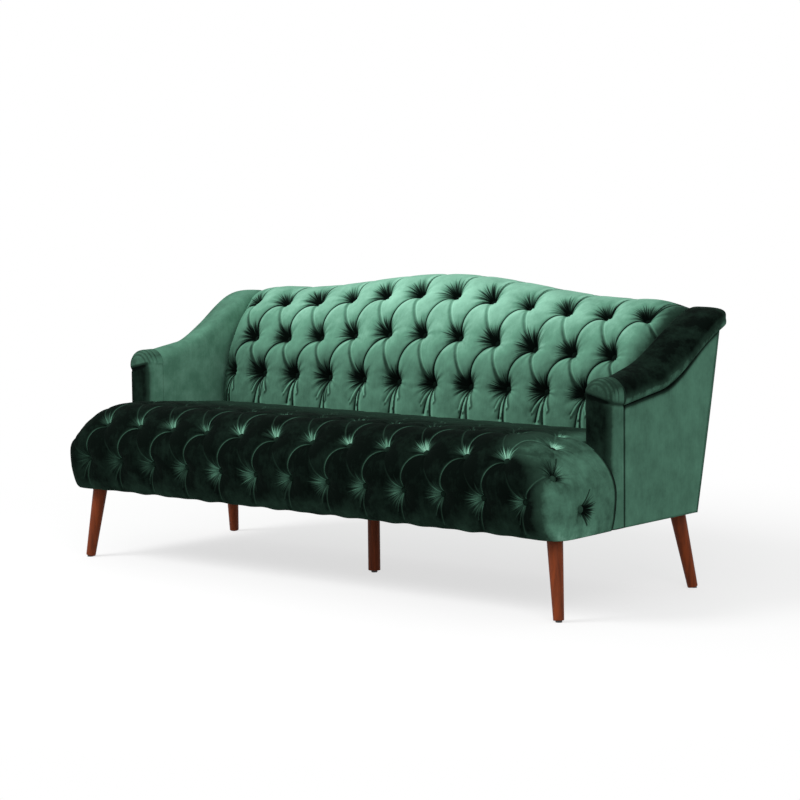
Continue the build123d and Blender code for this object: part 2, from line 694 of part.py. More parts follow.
# Seat upholstery
seat_outer = seat_form(0, 0, 0, 0, ear_tuck, seat_bottom)
seat_inner = seat_form(seat_front_layer, seat_top_layer, ear_layer, seat_tuck_layer, 0, 0)
frame_room = box(-frame_side, frame_side, front_rail_front, far, 0, rail_top)
deck_room = box(-side_rail_inner, side_rail_inner, front_rail_front, far, 0, deck_top)
seat_places = seat_button_places()
parts["seat_foam"] = seat_inner - frame_room - deck_room - box(-far, far, -far, far, -far, frame_bottom)
parts["seat_cover"] = seat_outer - seat_inner - frame_room - dimples(seat_places, seat_front_layer)
parts["seat_buttons"] = buttons(seat_places)

# Back upholstery
back_places = back_button_places()
parts["back_foam"] = loft([back_foam_section(x) for x in back_stations()])
back_cover = loft([back_cover_section(x) for x in back_stations()])
parts["back_cover"] = back_cover - dimples(back_places, back_layer)
parts["back_buttons"] = buttons(back_places)

# Arm upholstery


def arm_section(y):
    """Inside arm and roll at y: a hook over the arm frame, its crown leaning out to the roll."""
    top = arm_top(y)
    edge = roll_edge(y)
    seam = roll_seam(y)
    wood_top = top - arm_pad
    belly = (edge, top - roll_belly)
    crown = Spline((half_inside, top - roll_shoulder), (half_inside + arm_width / 2, top), belly,
                   tangents=((0, 1), (0, -1)))
    edges = [
        Line((half_inside, tack_bottom), (half_inside, top - roll_shoulder)),
        crown,
        Spline(belly, (half_body, seam), tangents=((0, -1), (-1, -roll_tuck))),
        Line((half_body, seam), (frame_side, seam)),
        Line((frame_side, seam), (frame_side, wood_top)),
        Line((frame_side, wood_top), (arm_frame_inner, wood_top)),
        Line((arm_frame_inner, wood_top), (arm_frame_inner, tack_bottom)),
        Line((arm_frame_inner, tack_bottom), (half_inside, tack_bottom)),
    ]
    return Plane.XZ.offset(-y) * make_face(edges)


arm_shares = [(i / arm_steps) ** arm_crowding for i in range(arm_steps + 1)]
arm_stations = [arm_cap_back + (arm_end - arm_cap_back) * share for share in arm_shares]
behind_rear_face = raked_slab(-far, far, -far, far, -far, 0)
back_frame_room = raked_slab(-far, far, -far, post_top, 0, foam_offset)
arm = loft([arm_section(y) for y in arm_stations]) - behind_rear_face - back_frame_room
pair("arm_pad", arm)

cap_top = arm_top(arm_cap_back)
cap_face = Rectangle(arm_width, cap_top - seat_bottom, align=(Align.MIN, Align.MAX))
cap_face = fillet(cap_face.vertices().group_by(Axis.Y)[-1], arm_cap_round)
cap = extrude(Plane.XZ.offset(-arm_front) * (Pos(half_inside, cap_top) * cap_face), amount=-arm_front_depth)
cap = fillet(cap.edges().filter_by(Axis.Z).group_by(Axis.Y)[0].group_by(Axis.X)[-1], arm_edge_round)
cap -= box(arm_frame_inner, frame_side, arm_post_front, far, 0, arm_wood_top)
cap -= box(0, frame_side, -far, far, 0, rail_top)
cap -= box(0, half_inside + arm_pad, arm_post_front, far, 0, tack_bottom)
cap += box(frame_side, half_body, arm_front, arm_cap_back, seat_bottom, rail_top)
pair("arm_front_pad", cap)

# Outside panels and dust cover
seam_line = Spline(*[(y, roll_seam(y) - wood_clearance) for y in arm_stations])
panel_edges = [
    seam_line,
    Line(seam_line @ 1, (arm_end, seat_bottom)),
    Line((arm_end, seat_bottom), (arm_cap_back, seat_bottom)),
    Line((arm_cap_back, seat_bottom), seam_line @ 0),
]
behind_panel = raked_slab(-far, far, -far, far, -far, panel_thickness)
panel_face = Plane.YZ.offset(frame_side) * make_face(panel_edges)
pair("outside_arm_panel", extrude(panel_face, amount=panel_thickness) - behind_panel)
panel_low_v = up_the_rake(seat_bottom, 0)
panel_end_v = up_the_rake(post_top, 0) - wood_clearance
panel_outline = [
    Line((-half_body, panel_low_v), (-half_body, panel_end_v)),
    Line((-half_body, panel_end_v), (-half_inside, panel_end_v)),
    Line((-half_inside, panel_end_v), top_edge[0]),
    Spline(*top_edge),
    Line(top_edge[-1], (half_inside, panel_end_v)),
    Line((half_inside, panel_end_v), (half_body, panel_end_v)),
    Line((half_body, panel_end_v), (half_body, panel_low_v)),
    Line((half_body, panel_low_v), (-half_body, panel_low_v)),
]
parts["outside_back_panel"] = extrude(rake_plane(0) * make_face(panel_outline), amount=panel_thickness)
dust = box(-frame_side, frame_side, front_rail_front, far, frame_bottom - dust_cloth, frame_bottom)
dust -= behind_panel
for foot, splay, size in legs:
    x, y = plate_centre(foot, splay)
    room = plate_size + 2 * bolt_clearance
    dust -= Pos(x, y, frame_bottom) * Box(room, room, 4 * dust_cloth)
parts["dust_cover"] = dust

os.makedirs("parts", exist_ok=True)
for name, solid in parts.items():
    export_step(solid, f"parts/{name}.step")
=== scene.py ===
"""Looks of a camel-back sofa in deep-buttoned velvet on turned walnut legs.

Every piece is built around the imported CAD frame, in metres: X along the sofa, Y to the rear, Z up.
"""

import json
import math
from collections import namedtuple

import bpy
import numpy as np
from bpy.props import FloatProperty, FloatVectorProperty, IntProperty, PointerProperty
from bpy.types import Operator, Panel, PropertyGroup
from mathutils import Matrix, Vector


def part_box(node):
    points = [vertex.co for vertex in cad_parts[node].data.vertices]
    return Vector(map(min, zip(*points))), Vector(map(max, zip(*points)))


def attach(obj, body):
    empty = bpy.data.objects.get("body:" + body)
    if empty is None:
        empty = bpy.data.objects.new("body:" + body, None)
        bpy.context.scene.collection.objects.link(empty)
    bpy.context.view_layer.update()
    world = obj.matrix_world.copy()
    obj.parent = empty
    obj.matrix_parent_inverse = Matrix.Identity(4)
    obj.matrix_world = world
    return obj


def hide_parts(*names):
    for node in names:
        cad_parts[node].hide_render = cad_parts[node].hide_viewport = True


bl_info = {
    "name": "Buttoned camel-back sofa",
    "version": (1, 0, 0),
    "blender": (4, 5, 0),
    "location": "3D View > Sidebar > Sofa",
    "description": "Builds the velvet, buttons and legs of a camel-back sofa around its CAD frame",
    "category": "Object",
}

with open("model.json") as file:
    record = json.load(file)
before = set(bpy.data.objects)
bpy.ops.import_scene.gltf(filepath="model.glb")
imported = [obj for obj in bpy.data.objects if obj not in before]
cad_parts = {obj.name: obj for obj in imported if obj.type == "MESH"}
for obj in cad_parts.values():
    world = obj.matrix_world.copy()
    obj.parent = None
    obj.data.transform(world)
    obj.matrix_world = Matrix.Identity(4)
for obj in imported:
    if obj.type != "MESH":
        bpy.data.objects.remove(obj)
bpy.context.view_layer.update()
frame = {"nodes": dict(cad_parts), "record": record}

SEAT_LOW, SEAT_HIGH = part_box("seat_cover")
BACK_LOW, BACK_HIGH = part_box("back_cover")
CAP_LOW, CAP_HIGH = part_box("right_arm_front_pad")
PANEL_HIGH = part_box("right_outside_arm_panel")[1]

SEED = 20


# Sizes and colours


def metres(name, note, default):
    """Property that holds a length."""
    return FloatProperty(name=name, description=note, default=default, unit="LENGTH")


def tint(name, note, default):
    """Property that holds a colour."""
    return FloatVectorProperty(name=name, description=note, default=default, subtype="COLOR")


class SofaSizes(PropertyGroup):
    """Sizes that set the sofa's soft forms."""

    half_inside: metres("Half inside width", "Middle of the sofa to the inside of an arm", BACK_HIGH.x)
    half_body: metres("Half body width", "Middle of the sofa to an outside arm panel", PANEL_HIGH.x)
    seat_half: metres("Half seat width", "Middle of the sofa to the side of an ear", SEAT_HIGH.x)
    seat_front: metres("Seat front", "Crown of the seat's front", SEAT_LOW.y)
    seat_rear: metres("Seat rear", "Where the seat meets the back", BACK_LOW.y)
    seat_top: metres("Seat height", "Crown of the seat's top", SEAT_HIGH.z)
    seat_bottom: metres("Seat edge", "Lower edge of the velvet", SEAT_LOW.z)
    arm_front: metres("Arm front", "Front face of the arms", CAP_LOW.y)
    cap_back: metres("Arm cap rear", "Rear seam of an arm's front cap", CAP_HIGH.y)
    arm_height: metres("Arm height", "Top of an arm at its front", CAP_HIGH.z)
    seat_fall: metres("Seat fall", "Slope of the seat's top down to the back", 0.034)
    seat_roll: metres("Seat roll", "Depth of the rolled front edge", 0.130)
    ear_round: metres("Ear shoulder", "Length of an ear's rounded shoulder", 0.236)
    ear_drop: metres("Ear drop", "Height of the rolled edge and the shoulder", 0.126)
    ear_fall: metres("Ear fall", "Further drop of an ear's shoulder at its side", 0.034)
    front_tuck: metres("Front tuck", "How far the front draws in at its edge", 0.039)
    ear_tuck: metres("Ear tuck", "How far an ear's side draws in at its edge", 0.012)
    back_tuck: metres("Back tuck", "How far the back's ends draw in at the arms", 0.100)
    arm_rise: metres("Arm rise", "Swoop of the arm's top up to the back", 0.085)
    seam_rise: metres("Seam rise", "Swoop of the seam under the roll", 0.113)
    knob_seam: metres("Knob seam", "Height of the pleated knob's seam", 0.570)
    camel_rise: metres("Camel rise", "Hump over the shoulders", 0.055)
    camel_half: metres("Camel half span", "Middle of the hump to its foot", 0.650)
    shoulder_drop: metres("Shoulder drop", "Fall of the shoulder at an arm", 0.024)
    shoulder_length: metres("Shoulder length", "Length of that fall", 0.126)
    pitch: metres("Button pitch", "Between the buttons of a row", 0.1376)
    ear_start: metres("Ear start", "Middle of the sofa to the buttons of an ear", 0.860)
    back_depth: metres("Back tuft depth", "Crown to button on the back", 0.036)
    front_depth: metres("Front tuft depth", "Crown to button on the seat's front", 0.034)
    top_depth: metres("Top tuft depth", "Crown to button on the seat's top", 0.024)
    roll_depth: metres("Roll tuft depth", "Crown to button on the rolled edge", 0.030)
    ear_depth: metres("Ear tuft depth", "Crown to button on an ear's side", 0.0095)
    button_radius: metres("Button radius", "Covered button", 0.011)
    leg_top: metres("Leg top", "Radius of a leg at its plate", 0.022)
    leg_foot: metres("Leg foot", "Radius of a leg at the floor", 0.0145)
    back_step: metres("Back grid", "Grid step of the inside back", 0.0020)
    seat_step: metres("Seat grid", "Grid step of the seat", 0.0020)
    plain_step: metres("Plain grid", "Grid step of the unbuttoned velvet", 0.005)
    leg_sides: IntProperty(name="Leg sides", description="Sides round a leg", default=64, min=12)


class SofaColours(PropertyGroup):
    """Colours of the sofa's finishes."""

    # The four pile colours are stops on one ramp from painted shade to painted sheen; the velvet's light
    # and shade are painted into its colour
    pile_shade: tint("Pile in shade", "Velvet seen into the pile", (0.0014, 0.0034, 0.0024))
    pile_deep: tint("Deep pile", "Velvet a third of the way up", (0.021, 0.050, 0.034))
    pile_mid: tint("Middle pile", "Velvet two thirds of the way up", (0.112, 0.275, 0.190))
    pile_light: tint("Pile in light", "Velvet along the pile", (0.350, 0.690, 0.520))
    walnut_light: tint("Walnut", "Leg wood between its grain lines", (0.205, 0.040, 0.009))
    walnut_dark: tint("Walnut grain", "Grain lines of the leg wood", (0.070, 0.014, 0.004))
    floor: tint("Floor", "Studio floor", (0.94, 0.94, 0.94))
    floor_bounce: tint("Floor bounce", "Floor as it lights the sofa", (0.35, 0.35, 0.35))


# Grid and mesh helpers


def ease(t):
    """Smooth step 3t² - 2t³ of t held between 0 and 1."""
    t = np.clip(t, 0.0, 1.0)
    return t * t * (3 - 2 * t)


def steps(length, step):
    """Number of grid steps of about one size that fill a length."""
    return max(2, int(round(length / step)))


def unit(vectors):
    """Vectors divided by their lengths."""
    return vectors / np.maximum(np.linalg.norm(vectors, axis=-1, keepdims=True), 1e-9)


def points_of(x, y, z):
    """Points from their coordinates, each spread to the shape that all three share."""
    return np.stack(np.broadcast_arrays(x, y, z), axis=-1)


def cubic_through(knots, values, at):
    """Curve through values at knots. Each span is a cubic whose end slopes are the two
    neighbouring chords' slopes, each weighted by the other span's length."""
    shape = (-1,) + (1,) * (values.ndim - 1)
    gaps = np.diff(knots).reshape(shape)
    chord = np.diff(values, axis=0) / gaps
    inner = (chord[1:] * gaps[:-1] + chord[:-1] * gaps[1:]) / (gaps[1:] + gaps[:-1])
    slope = np.concatenate((chord[:1], inner, chord[-1:]))
    span = np.clip(np.searchsorted(knots, at, side="right") - 1, 0, len(knots) - 2)
    width = gaps[span]
    t = (at - knots[span]).reshape(shape) / width
    low, high = values[span], values[span + 1]
    bend_low, bend_high = slope[span] * width, slope[span + 1] * width
    rise = high - low
    square = 3 * rise - 2 * bend_low - bend_high
    cube = bend_low + bend_high - 2 * rise
    return low + t * bend_low + t * t * square + t ** 3 * cube


def grid_quads(rows, columns, wrap=False):
    """Corner numbers of the quads of a grid stored row by row, closed on itself if it wraps."""
    numbers = np.arange(rows * columns).reshape(rows, columns)
    if wrap:
        numbers = np.concatenate((numbers, numbers[:1]))
    corners = (numbers[:-1, :-1], numbers[:-1, 1:], numbers[1:, 1:], numbers[1:, :-1])
    return np.stack(corners, axis=-1).reshape(-1, 4)


def weld(points, quads, grain=1e-5):
    """Joins points that lie in the same place and drops corners that fall together."""
    keys = np.round(points / grain).astype(np.int64)
    first, number = np.unique(keys, axis=0, return_index=True, return_inverse=True)[1:]
    quads = number.reshape(-1)[quads]
    same = quads == np.roll(quads, -1, axis=1)
    whole = quads[same.sum(axis=1) == 0]
    once = same.sum(axis=1) == 1
    triangles = quads[once][~same[once]].reshape(-1, 3)
    return points[first], whole, triangles


def signed_volume(points, quads, triangles):
    """Volume inside a skin, positive where its faces point outwards."""
    halves = np.concatenate((quads[:, (0, 1, 2)], quads[:, (0, 2, 3)], triangles))
    a, b, c = (points[corner] for corner in halves.T)
    return np.einsum("ij,ij->", a, np.cross(b, c)) / 6


def skin_normals(points, quads, triangles):
    """Unit normal at each point: the sum of the normals of the faces round it, by area."""
    total = np.zeros_like(points)
    for faces, spans in ((quads, ((0, 2), (1, 3))), (triangles, ((0, 1), (0, 2)))):
        first, second = (points[faces[:, end]] - points[faces[:, start]] for start, end in spans)
        normals = np.cross(first, second)
        for corner in faces.T:
            for axis in range(3):
                total[:, axis] += np.bincount(corner, weights=normals[:, axis], minlength=len(points))
    return unit(total)


class Skin:
    """A closed, welded skin: its points, faces and outward normals."""

    def __init__(self, points, quads):
        self.points, self.quads, self.triangles = weld(points, quads)
        if signed_volume(self.points, self.quads, self.triangles) < 0:
            self.quads = self.quads[:, ::-1]
            self.triangles = self.triangles[:, ::-1]
        self.normals = skin_normals(self.points, self.quads, self.triangles)

    def moved(self, points):
        """Sets the points and works out the normals again."""
        self.points = points
        self.normals = skin_normals(points, self.quads, self.triangles)


def closed_skin(*grids, wrap=False):
    """Skin of one or more grids, each with its first and last columns closed by triangles to the
    column's middle, written as quads with one doubled corner. A grid that wraps also joins its last
    row to its first."""
    points = np.concatenate([grid.reshape(-1, 3) for grid in grids])
    quads = []
    loops = []
    start = 0
    for grid in grids:
        rows, columns = grid.shape[:2]
        numbers = start + np.arange(rows * columns).reshape(rows, columns)
        quads.append(start + grid_quads(rows, columns, wrap))
        loops += [numbers[:, 0], numbers[::-1, -1]]
        start += rows * columns
    for loop in loops:
        middle = np.full(len(loop), len(points))
        quads.append(np.stack((loop, np.roll(loop, -1), middle, middle), axis=-1))
        points = np.concatenate((points, points[loop].mean(axis=0, keepdims=True)))
    return Skin(points, np.concatenate(quads))


def mirrored(skin):
    """Left-hand copy of a right-hand skin."""
    points = skin.points * np.array((-1.0, 1.0, 1.0))
    return Skin(points, np.concatenate((skin.quads, skin.triangles[:, (0, 1, 2, 2)])))


def make_piece(name, skin, material, nodes, layers=None):
    """Object of a skin, smooth, that rides on the sofa's body. Its layers are attributes: one number
    for all points, or a number or vector for each."""
    mesh = bpy.data.meshes.new(name)
    mesh.vertices.add(len(skin.points))
    mesh.vertices.foreach_set("co", skin.points.astype(np.float32).ravel())
    corners = np.concatenate((skin.quads.ravel(), skin.triangles.ravel())).astype(np.int32)
    quad_starts = np.arange(len(skin.quads)) * 4
    triangle_starts = len(skin.quads) * 4 + np.arange(len(skin.triangles)) * 3
    starts = np.concatenate((quad_starts, triangle_starts)).astype(np.int32)
    mesh.loops.add(len(corners))
    mesh.loops.foreach_set("vertex_index", corners)
    mesh.polygons.add(len(starts))
    mesh.polygons.foreach_set("loop_start", starts)
    mesh.polygons.foreach_set("use_smooth", np.ones(len(starts), dtype=bool))
    for key, values in (layers or {}).items():
        if np.ndim(values) == 0:
            values = np.full(len(skin.points), values)
        kind, field = ("FLOAT", "value") if values.ndim == 1 else ("FLOAT_VECTOR", "vector")
        layer = mesh.attributes.new(key, kind, "POINT")
        layer.data.foreach_set(field, values.astype(np.float32).ravel())
    mesh.update(calc_edges=True)
    mesh.validate()
    mesh.materials.append(material)
    piece = bpy.data.objects.new(name, mesh)
    bpy.context.scene.collection.objects.link(piece)
    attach(piece, "root")
    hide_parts(*nodes)


# Finishes


class Value:
    """A shader socket. Sums written with it add Math nodes to its tree."""

    def __init__(self, tree, socket=None):
        self.tree = tree
        self.socket = socket

    def node(self, kind, settings=None, sockets=None, output=0):
        """Adds a node of a kind: its settings first, then the values or links of its sockets."""
        made = self.tree.nodes.new(kind)
        for name, setting in (settings or {}).items():
            if name == "stops":
                elements = made.color_ramp.elements
                while len(elements) < len(setting):
                    elements.new(1.0)
                for element, (position, colour) in zip(elements, setting):
                    element.position = position
                    element.color = (*colour, 1.0)
            else:
                setattr(made, name, setting)
        for name, value in (sockets or {}).items():
            if isinstance(value, Value):
                self.tree.links.new(value.socket, made.inputs[name])
            else:
                made.inputs[name].default_value = value
        return Value(self.tree, made.outputs[output] if made.outputs else None)

    def sum(self, operation, first, second):
        """Adds a Math node of two values."""
        return self.node("ShaderNodeMath", {"operation": operation}, {0: first, 1: second})

    def __add__(self, other):
        return self.sum("ADD", self, other)

    def __radd__(self, other):
        return self.sum("ADD", other, self)

    def __sub__(self, other):
        return self.sum("SUBTRACT", self, other)

    def __rsub__(self, other):
        return self.sum("SUBTRACT", other, self)

    def __mul__(self, other):
        return self.sum("MULTIPLY", self, other)

    def __rmul__(self, other):
        return self.sum("MULTIPLY", other, self)


def new_finish(name):
    """Empty node material, and a Value to start its nodes from."""
    material = bpy.data.materials.new(name)
    material.use_nodes = True
    material.node_tree.nodes.clear()
    return material, Value(material.node_tree)


def close_tree(shader, kind="ShaderNodeOutputMaterial"):
    """Joins a shader to a new output of its tree."""
    shader.node(kind, None, {"Surface": shader})


def principled(start, sockets):
    """Principled shader with these sockets, joined to the material's output."""
    close_tree(start.node("ShaderNodeBsdfPrincipled", None, sockets))


def attribute(start, name, output=2):
    """A piece's attribute as a number, or as a vector from output 1."""
    return start.node("ShaderNodeAttribute", {"attribute_name": name}, output=output)


def object_place(start, scale):
    """Object coordinates stretched by a scale for each axis."""
    place = start.node("ShaderNodeTexCoord", output=3)
    return start.node("ShaderNodeMapping", None, {"Vector": place, "Scale": scale})


def noise(start, place, scale, detail, roughness):
    """Noise between 0 and 1 at a place."""
    return start.node("ShaderNodeTexNoise", None,
                      {"Vector": place, "Scale": scale, "Detail": detail, "Roughness": roughness})


def smooth_range(start, value, low, high, at_low, at_high):
    """Smooth step of a value from one number at its low end to another at its high end."""
    return start.node("ShaderNodeMapRange", {"interpolation_type": "SMOOTHSTEP"},
                      {"Value": value, "From Min": low, "From Max": high,
                       "To Min": at_low, "To Max": at_high})


def colour_ramp(start, share, *stops):
    """Colour picked by a share on a ramp through stops, each a position and a colour."""
    stops = [(position, tuple(colour)) for position, colour in stops]
    return start.node("ShaderNodeValToRGB", {"stops": stops}, {"Fac": share})


def raised(start, height, strength, distance):
    """Normal of a surface raised by a height."""
    return start.node("ShaderNodeBump", None,
                      {"Strength": strength, "Distance": distance, "Height": height})


def velvet_finish(colours):
    """Cut velvet. The painted light attribute, which carries the velvet's painted sheen and painted shade,
    picks a colour on a ramp from shade to light. Cloudy noise stirs it by the crush attribute, and fine
    upright streaks a little everywhere. Beside a button painted shade or painted highlight runs out in
    rays: noise round the button sets how far each ray reaches. Fine noise stands for the pile."""
    material, start = new_finish("green_velvet")
    nap, crush, reach, window = (attribute(start, key) for key in ("nap", "crush", "reach", "window"))
    spoke = attribute(start, "spoke", output=1)
    plain = object_place(start, (1.0, 1.0, 1.0))
    upright = object_place(start, (1.0, 1.0, 0.22))
    clouds = noise(start, plain, scale=15.0, detail=6.0, roughness=0.66)
    streaks = noise(start, upright, scale=140.0, detail=2.0, roughness=0.5)
    rays = noise(start, spoke, scale=11.0, detail=4.0, roughness=0.72)
    tip = smooth_range(start, reach + (rays - 0.5) * 2.3, low=0.25, high=0.90, at_low=1.0, at_high=0.0)
    # Velvet colour level: painted sheen and painted shade, with the fans' painted shade or highlight
    # beside the buttons
    shade = nap + (clouds - 0.5) * crush + (streaks - 0.5) * 0.06 + window * tip
    colour = colour_ramp(start, shade, (0.0, colours.pile_shade), (0.33, colours.pile_deep),
                         (0.66, colours.pile_mid), (1.0, colours.pile_light))
    pile = noise(start, plain, scale=900.0, detail=2.0, roughness=0.6)
    ruffle = noise(start, plain, scale=55.0, detail=4.0, roughness=0.55)
    normal = raised(start, pile * 0.25 + ruffle, strength=0.35, distance=0.0012)
    principled(start, {"Base Color": colour, "Roughness": 0.9, "Specular IOR Level": 0.02,
                       "Normal": normal, "Sheen Weight": 0.012, "Sheen Roughness": 0.4,
                       "Sheen Tint": (0.45, 0.85, 0.65, 1.0)})
    return material


def walnut_finish(colours):
    """Oiled walnut: noise stretched up the leg makes grain lines, and finer noise the pores."""
    material, start = new_finish("leg_walnut")
    along = object_place(start, (60.0, 60.0, 4.0))
    grain = noise(start, along, scale=1.6, detail=5.0, roughness=0.6)
    pores = noise(start, along, scale=12.0, detail=2.0, roughness=0.5)
    colour = colour_ramp(start, grain * 0.8 + pores * 0.25,
                         (0.32, colours.walnut_dark), (0.62, colours.walnut_light))
    normal = raised(start, pores, strength=0.25, distance=0.0006)
    principled(start, {"Base Color": colour, "Roughness": 0.42 + pores * 0.2, "Normal": normal,
                       "Specular IOR Level": 0.16})
    return material


def plain_finish(name, low, high, scale, roughness, metallic=0.0, stretch=(1.0, 1.0, 1.0)):
    """Finish stirred by noise between two colours, with a slight bump of the same noise."""
    material, start = new_finish(name)
    stir = noise(start, object_place(start, stretch), scale, detail=4.0, roughness=0.6)
    colour = colour_ramp(start, stir, (0.3, low), (0.7, high))
    normal = raised(start, stir, strength=0.3, distance=0.0004)
    principled(start, {"Base Color": colour, "Roughness": roughness + stir * 0.15,
                       "Metallic": metallic, "Normal": normal})
    return material


def make_velvet(name, skin, nodes, layers):
    """Velvet piece that stands for nodes. The finish is made with the first one."""
    finish = bpy.data.materials.get("green_velvet") or velvet_finish(bpy.context.scene.sofa_colours)
    make_piece(name, skin, finish, nodes, layers)


# Tufting

# A fan of painted shade or painted highlight beside a button: its direction and half angle in
# degrees, the change of painted light and its length.
Fan = namedtuple("Fan", "turn spread strength reach")
# A pleat: its bow as a share of its length, its depth, the painted shade or highlight of its line
# and of the lip below, and their fade.
Pleat = namedtuple("Pleat", "bow depth line lip fade", defaults=(0.0,))
# Like pleats from a row of buttons: the sideways shift of their ends, where they end, and the pleat.
Run = namedtuple("Run", "shift end pleat")

DRAPE_REACH = 0.06
UPPER_SIDE = np.array((0.0, 0.7, 0.7))
FUNNEL_WIDTH = 0.027
FUNNEL_REACH = 0.11
PIT_SHADE_WIDTH = 0.012
PUCKER_COUNTS = (5, 8, 11, 15)
PUCKER_WIDTH = 0.016
PUCKER_DEPTH = 0.0009
PLEAT_REACH = 0.06
CREASE_ABOVE = 0.0032
CREASE_BELOW = 0.0075
VALLEY_WIDTH = 0.018
LINE_WIDTH = 0.0017
LIP_BELOW = 0.008
LIP_WIDTH = 0.005
LONGEST_PLEAT = 0.24
FAR = 2.0
SWAY = 0.006
SWAY_BOW = 4
DOME_HEIGHT = 0.007
DOME_RINGS = 7
DOME_SIDES = 20


def surface_axes(normals):
    """Directions across and up a skin. Across is X laid into the skin, and turns to Y on the
    sides; up is square to it, upwards on the fronts and to the rear on the tops."""
    sideways = normals[:, :1]
    across = np.array((1.0, 0.0, 0.0)) - sideways * normals
    turn = np.abs(sideways) ** 6 * np.sign(sideways) * np.array((0.0, 1.0, 0.0))
    across = unit(across + turn)
    across = unit(across - (across * normals).sum(axis=1, keepdims=True) * normals)
    return across, np.cross(normals, across)


def drape(path, skin):
    """Path laid on a skin: each point moves onto the tangent plane of the nearest skin point."""
    low, high = path.min(axis=0) - DRAPE_REACH, path.max(axis=0) + DRAPE_REACH
    near = np.flatnonzero(np.all((skin.points > low) & (skin.points < high), axis=1))
    gap = ((path[:, None] - skin.points[near][None]) ** 2).sum(axis=-1)
    hit = near[gap.argmin(axis=1)]
    lift = ((skin.points[hit] - path) * skin.normals[hit]).sum(axis=1, keepdims=True)
    return path + lift * skin.normals[hit], skin.normals[hit]


def fold_path(start, end, bow, skin, count=13):
    """Pleat from one point to another on a skin, bowed towards its upper side by a share of its
    length."""
    t = np.linspace(0.0, 1.0, count)[:, None]
    path, normals = drape(start + (end - start) * t, skin)
    side = unit(np.cross(normals, unit(end - start)))
    side = side * np.where((side @ UPPER_SIDE)[:, None] < 0, -1.0, 1.0)
    path = path + side * bow * np.linalg.norm(end - start) * np.sin(math.pi * t)
    return drape(path, skin)[0]


def distance_to_path(points, path):
    """Nearest distance from points to a path, the share along the path, and the vector from the path."""
    best = np.full(len(points), np.inf)
    share = np.zeros(len(points))
    away = np.zeros_like(points)
    spans = len(path) - 1
    for i in range(spans):
        leg = path[i + 1] - path[i]
        t = np.clip(((points - path[i]) @ leg) / (leg @ leg), 0.0, 1.0)
        gap = points - path[i] - t[:, None] * leg
        size = np.linalg.norm(gap, axis=1)
        closer = size < best
        best = np.where(closer, size, best)
        share = np.where(closer, (i + t) / spans, share)
        away = np.where(closer[:, None], gap, away)
    return best, share, away


